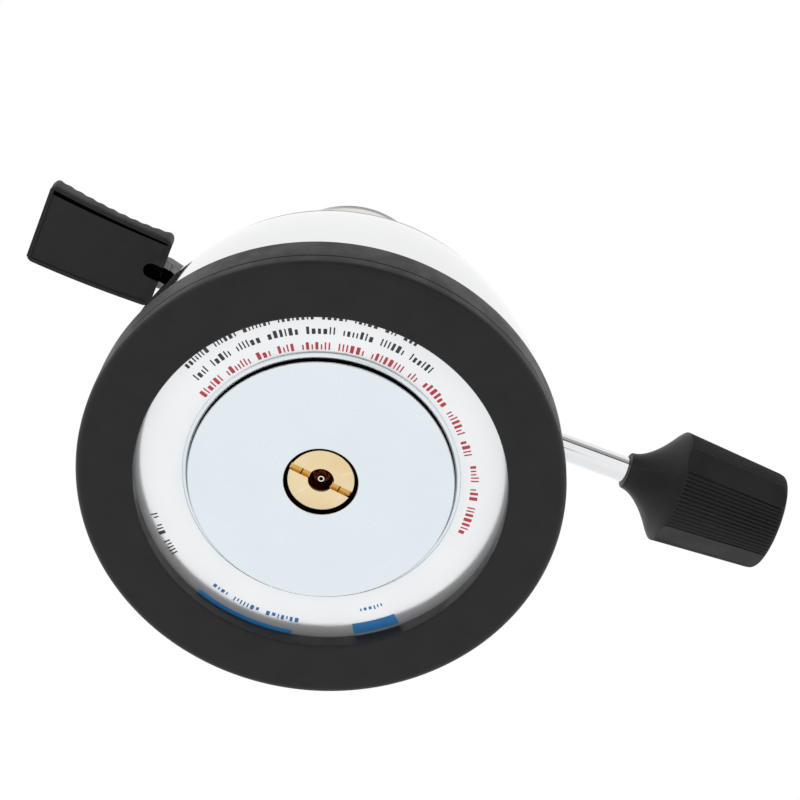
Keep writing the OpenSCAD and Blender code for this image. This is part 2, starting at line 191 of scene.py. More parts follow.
def effect_group(name: str, inputs: dict[str, float | None], outputs: Sequence[str],
                 wire: Callable) -> bpy.types.NodeTree:
    """Makes a shader node group, or returns the one already made.

    Args:
        name: the group's name.
        inputs: input names with their first values; None stands for a vector.
        outputs: names of the value outputs.
        wire: fills the group, given its graph, input sockets and output sockets.

    Returns:
        The node group.
    """
    if name in bpy.data.node_groups:
        return bpy.data.node_groups[name]
    tree = bpy.data.node_groups.new(name, "ShaderNodeTree")
    for label, value in inputs.items():
        kind = "NodeSocketVector" if value is None else "NodeSocketFloat"
        socket = tree.interface.new_socket(name=label, in_out="INPUT", socket_type=kind)
        if value is not None:
            socket.default_value = value
    for label in outputs:
        tree.interface.new_socket(name=label, in_out="OUTPUT", socket_type="NodeSocketFloat")
    graph = Graph(tree)
    start, end = graph.node("NodeGroupInput"), graph.node("NodeGroupOutput")
    wire(graph, start.outputs, end.inputs)
    return tree


def edge_wear() -> bpy.types.NodeTree:
    """Mask of edges rubbed bright, broken up by noise."""

    def wire(graph: Graph, given: object, result: object) -> None:
        """Sharp places times blotches."""
        sharp = graph.node("ShaderNodeNewGeometry").outputs["Pointiness"]
        edge = graph.ramp(sharp, 0.515, 0.60)
        place = graph.node("ShaderNodeTexCoord").outputs["Object"]
        blotch = graph.ramp(graph.noise(place, given["Blotch scale"], 4.0), 0.38, 0.62)
        graph.put(result["Mask"], graph.math("MULTIPLY", graph.math("MULTIPLY", edge, blotch), given["Amount"], True))

    return effect_group("edge_wear", {"Amount": 0.5, "Blotch scale": 400.0}, ["Mask"], wire)


def fine_grain() -> bpy.types.NodeTree:
    """Moulded or cast grain with slow clouds over it."""

    def wire(graph: Graph, given: object, result: object) -> None:
        """Two layers of noise: fine for height, slow for clouds."""
        place = graph.node("ShaderNodeTexCoord").outputs["Object"]
        fine = graph.noise(place, given["Scale"], 2.0, 0.5)
        slow = graph.noise(place, graph.math("MULTIPLY", given["Scale"], 0.03), 4.0, 0.6)
        graph.put(result["Height"], fine)
        graph.put(result["Cloud"], graph.ramp(slow, 0.3, 0.7))

    return effect_group("fine_grain", {"Scale": 2500.0}, ["Height", "Cloud"], wire)


def turned_lines() -> bpy.types.NodeTree:
    """Fine lines left by turning about the vector's Z axis."""

    def wire(graph: Graph, given: object, result: object) -> None:
        """Noise that is long round the axis and narrow across it."""
        split = graph.node("ShaderNodeSeparateXYZ")
        graph.put(split.inputs[0], given["Vector"])
        x, y, z = split.outputs
        flat = graph.node("ShaderNodeCombineXYZ")
        graph.put(flat.inputs[0], x)
        graph.put(flat.inputs[1], y)
        length = graph.node("ShaderNodeVectorMath", operation="LENGTH")
        graph.put(length.inputs[0], flat.outputs[0])
        unit = graph.node("ShaderNodeVectorMath", operation="NORMALIZE")
        graph.put(unit.inputs[0], flat.outputs[0])
        around = graph.node("ShaderNodeVectorMath", operation="SCALE")
        graph.put(around.inputs[0], unit.outputs[0])
        graph.put(around.inputs["Scale"], given["Sweep"])
        across = graph.math("MULTIPLY", graph.math("ADD", length.outputs["Value"], z), given["Density"])
        lift = graph.node("ShaderNodeCombineXYZ")
        graph.put(lift.inputs[2], across)
        spot = graph.node("ShaderNodeVectorMath", operation="ADD")
        graph.put(spot.inputs[0], around.outputs[0])
        graph.put(spot.inputs[1], lift.outputs[0])
        lines = graph.noise(spot.outputs[0], 1.0, 3.0, 0.6)
        graph.put(result["Height"], lines)
        graph.put(result["Streak"], graph.ramp(lines, 0.35, 0.65))

    start = {"Vector": None, "Density": 4000.0, "Sweep": 2.0}
    return effect_group("turned_lines", start, ["Height", "Streak"], wire)


def settled_dust() -> bpy.types.NodeTree:
    """Thin dust and handling marks, thicker on faces that look up."""

    def wire(graph: Graph, given: object, result: object) -> None:
        """Upward faces times smudges, with a few specks."""
        split = graph.node("ShaderNodeSeparateXYZ")
        graph.put(split.inputs[0], graph.node("ShaderNodeNewGeometry").outputs["Normal"])
        upward = graph.ramp(split.outputs[2], -0.2, 1.0, 0.12, 1.0)
        place = graph.node("ShaderNodeTexCoord").outputs["Object"]
        smudge = graph.ramp(graph.noise(place, 70.0, 5.0, 0.6), 0.42, 0.75)
        cells = graph.node("ShaderNodeTexVoronoi")
        graph.put(cells.inputs["Vector"], place)
        graph.put(cells.inputs["Scale"], 420.0)
        speck = graph.ramp(cells.outputs["Distance"], 0.05, 0.11, 1.0, 0.0)
        sparse = graph.ramp(graph.noise(place, 260.0, 1.0), 0.56, 0.62)
        total = graph.math("ADD", smudge, graph.math("MULTIPLY", speck, sparse))
        graph.put(result["Mask"], graph.math("MULTIPLY", graph.math("MULTIPLY", total, upward), given["Amount"], True))

    return effect_group("settled_dust", {"Amount": 0.2}, ["Mask"], wire)


# ---------------------------------------------------------------------------
# Finishes
# ---------------------------------------------------------------------------


@dataclass(frozen=True)
class Finish:
    """One surface finish, made of shared effects over a plain shader.

    Attributes:
        name: the material's name.
        slot: the material slot that the finish belongs to; not used.
        colour: main colour.
        second: colour that the clouds drift towards.
        metallic: 1 for bare metal.
        roughness: roughness where the surface is clean.
        spread: how much rougher the clouds and lines make it.
        grain_scale: fineness of the grain, per metre.
        grain_depth: height of the grain in metres.
        marks: tool marks.
        line_density: lines per metre across the marks.
        line_depth: height of the marks in metres.
        axis: line the marks run round.
        wear: how much of the edges is rubbed.
        worn: colour of the rubbed edges.
        dust: how much dust lies on it.
        specular: specular level.
        coat: weight of a clear coat.
    """

    name: str
    slot: str
    colour: RGB
    second: RGB
    metallic: float = 0.0
    roughness: float = 0.5
    spread: float = 0.1
    grain_scale: float = 2500.0
    grain_depth: float = 0.00001
    marks: Marks = Marks.NONE
    line_density: float = 4000.0
    line_depth: float = 0.000004
    axis: Axis = Axis.UPRIGHT
    wear: float = 0.3
    worn: RGB = (0.3, 0.3, 0.3)
    dust: float = 0.1
    specular: float = 0.5
    coat: float = 0.0

    def place(self, graph: Graph) -> bpy.types.NodeSocket:
        """Object position turned so that its Z runs along the marks' axis."""
        where = graph.node("ShaderNodeTexCoord").outputs["Object"]
        if self.axis is Axis.UPRIGHT:
            return where
        turn = graph.node("ShaderNodeMapping", vector_type="POINT")
        graph.put(turn.inputs["Vector"], where)
        turn.inputs["Location"].default_value = (0.050, 0.0, 0.0)
        turn.inputs["Rotation"].default_value = (0.0, math.radians(-90), 0.0)
        return turn.outputs[0]

    def group(self, graph: Graph, tree: bpy.types.NodeTree, **values: object) -> bpy.types.NodeOutputs:
        """Places one effect in the material.

        Args:
            graph: the material's graph.
            tree: the effect's node group.
            values: input values, with spaces written as underscores.

        Returns:
            The effect's outputs.
        """
        made = graph.node("ShaderNodeGroup", node_tree=tree)
        for name, value in values.items():
            graph.put(made.inputs[name.replace("_", " ")], value)
        return made.outputs

    def tint(self, graph: Graph, colour: object) -> object:
        """Last change of the base colour; plain finishes have none."""
        return colour

    def material(self) -> bpy.types.Material:
        """Builds the material, or returns the one already built.

        Returns:
            The material.
        """
        title = self.name + "_finish"
        if title in bpy.data.materials:
            return bpy.data.materials[title]
        made = bpy.data.materials.new(title)
        made.use_nodes = True
        made.node_tree.nodes.clear()
        graph = Graph(made.node_tree)
        shader = graph.node("ShaderNodeBsdfPrincipled")
        output = graph.node("ShaderNodeOutputMaterial")
        graph.put(output.inputs["Surface"], shader.outputs[0])

        grain = self.group(graph, fine_grain(), Scale=self.grain_scale)
        wear = self.group(graph, edge_wear(), Amount=self.wear)["Mask"]
        dust = self.group(graph, settled_dust(), Amount=self.dust)["Mask"]
        cloud = grain["Cloud"]
        colour = graph.mix(cloud, self.colour, self.second)
        rough = graph.ramp(cloud, 0.0, 1.0, self.roughness, self.roughness + self.spread)
        bump = graph.node("ShaderNodeBump")
        bump.inputs["Strength"].default_value = 1.0
        bump.inputs["Distance"].default_value = self.grain_depth
        graph.put(bump.inputs["Height"], grain["Height"])
        if self.marks is Marks.TURNED:
            lines = self.group(graph, turned_lines(), Vector=self.place(graph), Density=self.line_density)
            rough = graph.math("ADD", rough, graph.math("MULTIPLY", lines["Streak"], self.spread * 0.8))
            second = graph.node("ShaderNodeBump")
            second.inputs["Distance"].default_value = self.line_depth
            graph.put(second.inputs["Height"], lines["Height"])
            graph.put(second.inputs["Normal"], bump.outputs[0])
            bump = second
        colour = graph.mix(wear, colour, self.worn)
        dusty = (0.42, 0.41, 0.39)
        colour = self.tint(graph, graph.mix(dust, colour, dusty))
        graph.put(shader.inputs["Base Color"], colour)
        rough = graph.math("ADD", rough, graph.math("MULTIPLY", dust, 0.35), True)
        graph.put(shader.inputs["Roughness"], rough)
        if self.metallic > 0.0 and self.dust > 0.0:
            graph.put(shader.inputs["Metallic"], graph.math("SUBTRACT", self.metallic, dust, True))
        else:
            shader.inputs["Metallic"].default_value = self.metallic
        shader.inputs["Specular IOR Level"].default_value = self.specular
        shader.inputs["Coat Weight"].default_value = self.coat
        shader.inputs["Coat Roughness"].default_value = 0.08
        graph.put(shader.inputs["Normal"], bump.outputs[0])
        return made


@dataclass(frozen=True)
class HeatTintedSteel(Finish):
    """Steel with straw, purple and blue colours where the flame heats it."""

    hot_z: float = 0.088
    cool_z: float = 0.074

    def tint(self, graph: Graph, colour: object) -> object:
        """Colours the metal by its height under the flame."""
        split = graph.node("ShaderNodeSeparateXYZ")
        place = graph.node("ShaderNodeTexCoord").outputs["Object"]
        graph.put(split.inputs[0], place)
        drift = graph.math("MULTIPLY", graph.math("SUBTRACT", graph.noise(place, 160.0), 0.5), 0.006)
        height = graph.math("ADD", split.outputs[2], drift)
        share = graph.node("ShaderNodeMapRange")
        for socket, item in zip(share.inputs, (height, self.cool_z, self.hot_z, 0.0, 1.0)):
            graph.put(socket, item)
        bands = graph.node("ShaderNodeValToRGB")
        graph.put(bands.inputs[0], share.outputs[0])
        steps = ((0.0, (1.0, 1.0, 1.0)), (0.35, (1.0, 0.93, 0.78)), (0.6, (0.95, 0.76, 0.52)),
                 (0.8, (0.72, 0.62, 0.70)))
        ramp = bands.color_ramp
        ramp.elements[0].color = (*steps[0][1], 1.0)
        ramp.elements[1].color = (0.62, 0.70, 0.86, 1.0)
        for where, shade in steps[1:]:
            ramp.elements.new(where).color = (*shade, 1.0)
        made = graph.node("ShaderNodeMix", data_type="RGBA", blend_type="MULTIPLY")
        made.inputs[0].default_value = 0.75
        graph.put(made.inputs[6], colour)
        graph.put(made.inputs[7], bands.outputs[0])
        return made.outputs[2]


@dataclass(frozen=True)
class BrownConeBrass(Finish):
    """Bright brass that is dark brown deep inside its countersink, laid by depth and distance from the axis."""

    reach: float = 0.00235
    depth: float = 0.00292

    def tint(self, graph: Graph, colour: object) -> object:
        """Darkens the cone around the middle."""
        split = graph.node("ShaderNodeSeparateXYZ")
        place = graph.node("ShaderNodeTexCoord").outputs["Object"]
        graph.put(split.inputs[0], place)
        flat = graph.node("ShaderNodeVectorMath", operation="MULTIPLY")
        graph.put(flat.inputs[0], place)
        flat.inputs[1].default_value = (1.0, 1.0, 0.0)
        length = graph.node("ShaderNodeVectorMath", operation="LENGTH")
        graph.put(length.inputs[0], flat.outputs[0])
        inside = graph.ramp(length.outputs["Value"], self.reach, self.reach - 0.00012)
        below = graph.ramp(split.outputs[2], self.depth - 0.0001, self.depth)
        brown = graph.mix(graph.ramp(graph.noise(place, 900.0), 0.35, 0.7), (0.05, 0.008, 0.003), (0.17, 0.035, 0.010))
        return graph.mix(graph.math("MULTIPLY", inside, below), colour, brown)


BLACK_RUBBER = Finish(
    "black_rubber", "black_rubber", (0.0065, 0.0065, 0.0072), (0.011, 0.011, 0.012), roughness=0.42, spread=0.12,
    grain_scale=5200.0, grain_depth=0.0000045, wear=0.18, worn=(0.03, 0.03, 0.031), dust=0.004, specular=0.27)
BLACK_PLASTIC = Finish(
    "satin_black_plastic", "black_plastic", (0.0060, 0.0060, 0.0064), (0.0095, 0.0095, 0.010), roughness=0.42,
    spread=0.12, grain_scale=4200.0, grain_depth=0.000009, wear=0.25, worn=(0.04, 0.04, 0.042), dust=0.004,
    specular=0.27)
BUSH_NYLON = Finish(
    "black_nylon", "bush_nylon", (0.012, 0.012, 0.013), (0.02, 0.02, 0.021), roughness=0.34, spread=0.08,
    grain_depth=0.000004, wear=0.2, worn=(0.06, 0.06, 0.06))
POLISHED_STEEL = Finish(
    "polished_steel", "polished_steel", (0.86, 0.865, 0.875), (0.82, 0.825, 0.835), 1.0, 0.045, 0.035,
    grain_scale=900.0, grain_depth=0.0000012, marks=Marks.TURNED, line_density=5200.0, line_depth=0.0000005,
    wear=0.1, worn=(0.9, 0.9, 0.9), dust=0.035)
SATIN_STEEL = Finish(
    "satin_steel_dome", "polished_steel", (0.80, 0.80, 0.80), (0.74, 0.74, 0.745), 1.0, 0.20, 0.10,
    grain_scale=1800.0, grain_depth=0.000002, marks=Marks.TURNED, line_density=5200.0, line_depth=0.000003,
    wear=0.2, worn=(0.92, 0.92, 0.92), dust=0.06)
PLATED_STEEL = Finish(
    "plated_steel", "plated_steel", (0.82, 0.875, 0.91), (0.80, 0.86, 0.895), 1.0, 0.24, 0.05,
    grain_scale=2600.0, grain_depth=0.000002, marks=Marks.TURNED, line_density=3600.0, line_depth=0.0000012,
    wear=0.1, worn=(0.95, 0.96, 0.97), dust=0.02)
DEEP_DRAWN_STEEL = Finish(
    "deep_drawn_steel", "tank_steel", (0.55, 0.56, 0.57), (0.44, 0.45, 0.46), 1.0, 0.35, 0.12, wear=0.2,
    worn=(0.8, 0.8, 0.8), marks=Marks.TURNED)
ZINC_STEEL = Finish(
    "zinc_steel", "zinc_steel", (0.64, 0.66, 0.68), (0.55, 0.57, 0.58), 1.0, 0.28, 0.12, grain_scale=3000.0,
    grain_depth=0.000004, wear=0.3, worn=(0.85, 0.86, 0.87))
DARK_STEEL = Finish(
    "oiled_steel", "dark_steel", (0.155, 0.157, 0.162), (0.12, 0.122, 0.126), 1.0, 0.34, 0.12, grain_scale=2200.0,
    grain_depth=0.000006, wear=0.35, worn=(0.3, 0.3, 0.31))
CHROME = Finish(
    "bright_chrome", "chromed_shaft", (0.84, 0.845, 0.855), (0.80, 0.805, 0.815), 1.0, 0.06, 0.04,
    grain_scale=1500.0, grain_depth=0.000001, marks=Marks.TURNED, axis=Axis.SHAFT, line_density=3000.0,
    line_depth=0.000001, wear=0.1, worn=(0.9, 0.9, 0.9), dust=0.02)
# Painted shade: darker, deeper amber brass for the valve slot's floor and walls, standing in for the shade and
# brass-tinted light inside the slot.
PAINTED_SHADE_SLOT_BRASS = Finish(
    "painted_shade_amber_slot", "pale_brass", (0.74, 0.43, 0.11), (0.62, 0.33, 0.07), 1.0, 0.26, 0.08, grain_scale=2600.0,
    grain_depth=0.000004, wear=0.2, worn=(0.95, 0.75, 0.4), dust=0.0)
# Painted shade: dark steel put in a band on the shell's shoulder, where the rounded shoulder looks dark.
PAINTED_SHADE_STEEL = Finish(
    "painted_shade_shoulder", "polished_steel", (0.045, 0.045, 0.047), (0.06, 0.06, 0.062), 1.0, 0.2, 0.08, wear=0.0, dust=0.0)
VALVE_BRASS = BrownConeBrass(
    "pale_brass", "pale_brass", (0.90, 0.73, 0.46), (0.86, 0.66, 0.38), 1.0, 0.24, 0.08, grain_scale=2600.0,
    grain_depth=0.000003, marks=Marks.TURNED, line_density=5200.0, line_depth=0.000003, wear=0.4,
    worn=(0.98, 0.90, 0.72), dust=0.02)
STEM_BRASS = Finish(
    "stem_brass", "pale_brass", (0.95, 0.88, 0.70), (0.90, 0.80, 0.60), 1.0, 0.22, 0.08, wear=0.3,
    worn=(1.0, 0.95, 0.85), dust=0.0)
MACHINED_BRASS = Finish(
    "machined_brass", "machined_brass", (0.72, 0.52, 0.24), (0.62, 0.42, 0.17), 1.0, 0.26, 0.12,
    marks=Marks.TURNED, wear=0.4, worn=(0.9, 0.74, 0.45))
# Painted shadow: a near-black matt finish put on slots, grooves, gaps and holes to stand in for the shade inside them.
PAINTED_SHADOW_BLACK = Finish(
    "painted_shadow_black", "black_plastic", (0.0008, 0.0008, 0.0009), (0.0011, 0.0011, 0.0012), roughness=0.8, spread=0.05,
    wear=0.0, dust=0.0, specular=0.02)
SEAL_RUBBER = Finish(
    "seal_rubber", "seal_rubber", (0.004, 0.004, 0.004), (0.007, 0.007, 0.007), roughness=0.4, spread=0.1,
    wear=0.0, dust=0.0, specular=0.3)
SPRING_STEEL = Finish(
    "spring_steel", "spring_steel", (0.5, 0.51, 0.53), (0.42, 0.43, 0.45), 1.0, 0.25, 0.1)
TUBE_NYLON = Finish(
    "natural_nylon", "tube_nylon", (0.72, 0.69, 0.58), (0.66, 0.62, 0.50), roughness=0.35)
FELT = Finish(
    "pressed_felt", "filter_felt", (0.62, 0.57, 0.46), (0.50, 0.45, 0.35), roughness=0.95, spread=0.05,
    grain_scale=1600.0, grain_depth=0.0002)
FOIL = Finish(
    "label_foil", "label_foil", (0.97, 0.972, 0.978), (0.93, 0.934, 0.944), 0.72, 0.17, 0.06,
    grain_scale=1500.0, grain_depth=0.000006, wear=0.0, dust=0.015, specular=0.5, coat=0.35)
BLACK_INK = Finish(
    "black_ink", "label_foil", (0.02, 0.02, 0.022), (0.035, 0.035, 0.037), roughness=0.35, wear=0.0, dust=0.0)
RED_INK = Finish(
    "red_ink", "label_foil", (0.52, 0.022, 0.035), (0.60, 0.04, 0.05), roughness=0.35, wear=0.0, dust=0.0)
BLUE_INK = Finish(
    "blue_ink", "label_foil", (0.020, 0.16, 0.40), (0.03, 0.21, 0.48), roughness=0.35, wear=0.0, dust=0.0)
BURNER_STEEL = HeatTintedSteel(
    "heat_tinted_steel", "burner_steel", (0.72, 0.72, 0.72), (0.64, 0.64, 0.64), 1.0, 0.20, 0.10,
    grain_scale=2000.0, grain_depth=0.000003, marks=Marks.TURNED, line_density=5000.0, line_depth=0.000002,
    wear=0.3, worn=(0.9, 0.9, 0.9), dust=0.03)
WIND_STEEL = HeatTintedSteel(
    "wind_ring_steel", "burner_steel", (0.86, 0.86, 0.86), (0.80, 0.80, 0.80), 1.0, 0.20, 0.10,
    grain_scale=2000.0, grain_depth=0.000003, marks=Marks.TURNED, line_density=5000.0, line_depth=0.000002,
    wear=0.3, worn=(0.9, 0.9, 0.9), dust=0.02, hot_z=0.125, cool_z=0.084)
SCREEN_STEEL = HeatTintedSteel(
    "scorched_screen", "screen_steel", (0.40, 0.37, 0.34), (0.26, 0.23, 0.21), 1.0, 0.40, 0.2,
    grain_scale=2600.0, grain_depth=0.00001, wear=0.3, worn=(0.6, 0.58, 0.55), hot_z=0.0845, cool_z=0.080)
CASE_PLASTIC = Finish(
    "white_moulding", "case_plastic", (0.78, 0.78, 0.75), (0.72, 0.72, 0.68), roughness=0.3, spread=0.08,
    grain_depth=0.000003, wear=0.0)
SILICONE = Finish(
    "red_silicone", "lead_silicone", (0.42, 0.03, 0.02), (0.34, 0.02, 0.014), roughness=0.42, spread=0.1,
    grain_depth=0.000005, wear=0.0)
CERAMIC = Finish(
    "white_ceramic", "white_ceramic", (0.84, 0.82, 0.76), (0.78, 0.75, 0.68), roughness=0.5, spread=0.15,
    grain_scale=3500.0, grain_depth=0.00001, wear=0.0)
ELECTRODE_WIRE = Finish(
    "electrode_wire", "electrode_wire", (0.42, 0.41, 0.40), (0.30, 0.28, 0.28), 1.0, 0.32, 0.15, wear=0.4,
    worn=(0.7, 0.7, 0.7))


# ---------------------------------------------------------------------------
# Mesh making
# ---------------------------------------------------------------------------


def shade(thing: bpy.types.Object, angle: float) -> None:
    """Smooths a mesh, leaving edges sharper than the angle (degrees) crisp."""
    mesh = thing.data
    mesh.polygons.foreach_set("use_smooth", [True] * len(mesh.polygons))
    mesh.set_sharp_from_angle(angle=math.radians(angle))


def solid(name: str, points: Sequence[Point3], faces: Sequence[Sequence[int]],
          angle: float = CRISP) -> bpy.types.Object:
    """Makes a closed mesh object from points in millimetres.

    Args:
        name: the object's name.
        points: the mesh's points.
        faces: the mesh's faces.
        angle: edges sharper than this stay crisp.

    Returns:
        The object, linked to the scene.
    """
    mesh = bpy.data.meshes.new(name)
    mesh.from_pydata([Vector(point) * MM for point in points], [], faces)
    work = bmesh.new()
    work.from_mesh(mesh)
    bmesh.ops.remove_doubles(work, verts=work.verts, dist=MERGE)
    bmesh.ops.dissolve_degenerate(work, edges=work.edges, dist=MERGE)
    bmesh.ops.recalc_face_normals(work, faces=work.faces)
    work.to_mesh(mesh)
    work.free()
    thing = bpy.data.objects.new(name, mesh)
    bpy.context.scene.collection.objects.link(thing)
    shade(thing, angle)
    return thing


def rounded(corners: Sequence[Corner], steps: int = 5) -> list[Point2]:
    """Rounds the corners of a closed outline.

    Args:
        corners: (x, y, fillet radius) of each corner.
        steps: flat steps in each fillet.

    Returns:
        The outline's points.
    """
    outline: list[Point2] = []
    count = len(corners)
    for index, (x, y, fillet) in enumerate(corners):
        here = Vector((x, y))
        before = Vector(corners[index - 1][:2]) - here
        after = Vector(corners[(index + 1) % count][:2]) - here
        half = before.angle(after) / 2
        if fillet <= 0 or half > 1.55:
            outline.append((x, y))
            continue
        reach = min(fillet / math.tan(half), 0.49 * before.length, 0.49 * after.length)
        radius = reach * math.tan(half)
        before.normalize()
        after.normalize()
        centre = here + (before + after).normalized() * radius / math.sin(half)
        start, end = here + before * reach - centre, here + after * reach - centre
        first = math.atan2(start.y, start.x)
        sweep = (math.atan2(end.y, end.x) - first + math.pi) % (2 * math.pi) - math.pi
        for step in range(steps + 1):
            turn = first + sweep * step / steps
            outline.append((centre.x + radius * math.cos(turn), centre.y + radius * math.sin(turn)))
    return outline


def arc(centre: Point2, radius: float, start: float, end: float, steps: int) -> list[Point2]:
    """Points on a circle's arc, angles in degrees."""
    turns = [math.radians(start + (end - start) * step / steps) for step in range(steps + 1)]
    return [(centre[0] + radius * math.cos(turn), centre[1] + radius * math.sin(turn)) for turn in turns]


def flowing(points: Sequence[tuple[float, ...]], steps: int) -> list[tuple[float, ...]]:
    """A smooth open curve through the points.

    Args:
        points: the points the curve passes, flat or in space.
        steps: how many pieces each gap is split into.

    Returns:
        Points along the curve, the first and last included.
    """
    count = len(points)
    curve: list[tuple[float, ...]] = []
    for index in range(count - 1):
        a, b = Vector(points[max(index - 1, 0)]), Vector(points[index])
        c, d = Vector(points[index + 1]), Vector(points[min(index + 2, count - 1)])
        for step in range(steps):
            t = step / steps
            spot = 0.5 * (2 * b + (c - a) * t + (2 * a - 5 * b + 4 * c - d) * t * t + (3 * b - a - 3 * c + d) * t**3)
            curve.append(tuple(spot))
    curve.append(tuple(points[-1]))
    return curve


def turned(name: str, outline: Sequence[Point2], axis: Axis = Axis.UPRIGHT, centre: Point3 = (0, 0, 0),
           segments: int = 160) -> bpy.types.Object:
    """Turns a closed outline of (radius, height) about an axis.

    Args:
        name: the object's name.
        outline: the outline's points.
        axis: the line it is turned about.
        centre: where height 0 on the axis lies.
        segments: how many flats make the circle.

    Returns:
        The turned piece.
    """
    rows = len(outline)
    points: list[Point3] = []
    for turn in range(segments):
        a = 2 * math.pi * turn / segments
        for radius, height in outline:
            side, up = max(radius, 0.0) * math.cos(a), max(radius, 0.0) * math.sin(a)
            local = (side, up, height) if axis is Axis.UPRIGHT else (height, side, up)
            points.append(tuple(c + s for c, s in zip(centre, local)))
    faces = []
    for turn in range(segments):
        here, there = turn * rows, (turn + 1) % segments * rows
        for row in range(rows):
            following = (row + 1) % rows
            if outline[row][0] < 1e-6 and outline[following][0] < 1e-6:
                continue
            faces.append((here + row, there + row, there + following, here + following))
    return solid(name, points, faces)


def band_of_faces(here: int, there: int, ring: int) -> list[tuple[int, ...]]:
    """Faces between two closed rows of points, given where each row starts."""
    return [(here + k, here + (k + 1) % ring, there + (k + 1) % ring, there + k) for k in range(ring)]


def loft(name: str, sections: Sequence[Sequence[Point3]], angle: float = CRISP) -> bpy.types.Object:
    """Skins closed sections that all have the same number of points.

    Args:
        name: the object's name.
        sections: the sections, in order.
        angle: edges sharper than this stay crisp.

    Returns:
        The lofted piece.
    """
    ring = len(sections[0])
    points = [point for section in sections for point in section]
    last = len(sections) - 1
    faces: list[tuple[int, ...]] = []
    for row in range(last):
        faces += band_of_faces(row * ring, (row + 1) * ring, ring)
    faces += [tuple(range(ring)), tuple(last * ring + k for k in range(ring))]
    return solid(name, points, faces, angle)


def swept(name: str, path: Sequence[Point3], radius: float | Sequence[float], sides: int = 20) -> bpy.types.Object:
    """A round rod or tube along a path.

    Args:
        name: the object's name.
        path: the middle line.
        radius: one radius, or one for each point.
        sides: how many flats make the section.

    Returns:
        The rod.
    """
    spots = [Vector(point) for point in path]
    sizes = [radius] * len(spots) if isinstance(radius, (int, float)) else list(radius)
    sections = []
    normal = None
    for index, spot in enumerate(spots):
        ahead = (spots[min(index + 1, len(spots) - 1)] - spots[max(index - 1, 0)]).normalized()
        if normal is None:
            normal = ahead.orthogonal().normalized()
        normal = (normal - ahead * normal.dot(ahead)).normalized()
        other = ahead.cross(normal)
        turns = [2 * math.pi * k / sides for k in range(sides)]
        sections.append([tuple(spot + (normal * math.cos(t) + other * math.sin(t)) * sizes[index]) for t in turns])
    return loft(name, sections)


def slab(name: str, outline: Sequence[Point2], low: float, high: float) -> bpy.types.Object:
    """An upright prism over an outline, used whole or as a cutter."""
    return loft(name, [[(x, y, level) for x, y in outline] for level in (low, high)])


def drill(radius: float, low: float, high: float, sides: int) -> bpy.types.Object:
    """A round upright cutter round the origin."""
    return slab("drill", arc((0, 0), radius, 0, 360, sides)[:-1], low, high)


def bar_cutter(outline: Sequence[Point2], near: float, far: float) -> bpy.types.Object:
    """A cutter along X over an outline of (y, z)."""
    return loft("bar", [[(x, y, z) for y, z in outline] for x in (near, far)])


def stadium(length: float, width: float) -> list[Point2]:
    """Outline of a round-ended slot, length along X, centred."""
    reach, radius = length / 2 - width / 2, width / 2
    return arc((reach, 0), radius, -90, 90, 8) + arc((-reach, 0), radius, 90, 270, 8)


def joined(name: str, things: Sequence[bpy.types.Object]) -> bpy.types.Object:
    """Joins loose objects into one mesh object.

    Args:
        name: the new object's name.
        things: the objects, which are removed.

    Returns:
        The joined object.
    """
    work = bmesh.new()
    for thing in things:
        thing.data.transform(thing.matrix_basis)
        work.from_mesh(thing.data)
        bpy.data.objects.remove(thing)
    mesh = bpy.data.meshes.new(name)
    work.to_mesh(mesh)
    work.free()
    made = bpy.data.objects.new(name, mesh)
    bpy.context.scene.collection.objects.link(made)
    return made


def settle(thing: bpy.types.Object) -> bpy.types.Object:
    """Applies an object's modifiers, and returns the object."""
    bpy.context.view_layer.update()
    graph = bpy.context.evaluated_depsgraph_get()
    mesh = bpy.data.meshes.new_from_object(thing.evaluated_get(graph))
    thing.modifiers.clear()
    thing.data = mesh
    work = bmesh.new()
    work.from_mesh(mesh)
    bmesh.ops.remove_doubles(work, verts=work.verts, dist=MERGE)
    bmesh.ops.dissolve_degenerate(work, edges=work.edges, dist=MERGE)
    work.to_mesh(mesh)
    work.free()
    shade(thing, CRISP)
    return thing


def cut(thing: bpy.types.Object, cutters: Sequence[bpy.types.Object], bevel: float = 0.0) -> bpy.types.Object:
    """Cuts shapes out of a piece, and breaks its sharp edges.

    Args:
        thing: the piece.
        cutters: the shapes, which are removed.
        bevel: width of the broken edges in millimetres, 0 for none.

    Returns:
        The cut piece.
    """
    tool = joined("cutter", cutters)
    knife = thing.modifiers.new("knife", "BOOLEAN")
    knife.operation, knife.solver, knife.object = "DIFFERENCE", "EXACT", tool
    settle(thing)
    bpy.data.objects.remove(tool)
    return soften(thing, bevel) if bevel > 0 else thing


def soften(thing: bpy.types.Object, width: float) -> bpy.types.Object:
    """Rounds the sharp edges of a piece, width in millimetres."""
    edge = thing.modifiers.new("edge", "BEVEL")
    edge.width, edge.segments, edge.limit_method = width * MM, 2, "ANGLE"
    edge.angle_limit, edge.harden_normals = math.radians(CRISP), False
    edge.use_clamp_overlap = True
    return settle(thing)


def moved(thing: bpy.types.Object, matrix: Matrix) -> bpy.types.Object:
    """Moves a piece's mesh by a matrix in millimetres."""
    shift = matrix.copy()
    shift.translation *= MM
    thing.data.transform(shift)
    return thing


def around(angle: float, radius: float = 0.0, height: float = 0.0) -> Matrix:
    """Matrix that carries a shape out along X and then round Z, angle in degrees."""
    return Matrix.Rotation(math.radians(angle), 4, "Z") @ Matrix.Translation((radius, 0, height))


def lying(axis: str) -> Matrix:
    """Matrix that lays a shape drawn along Z along X or Y."""
    return Matrix.Rotation(math.radians(90), 4, "Y" if axis == "X" else "X")


# ---------------------------------------------------------------------------
# Sub-assemblies
# ---------------------------------------------------------------------------


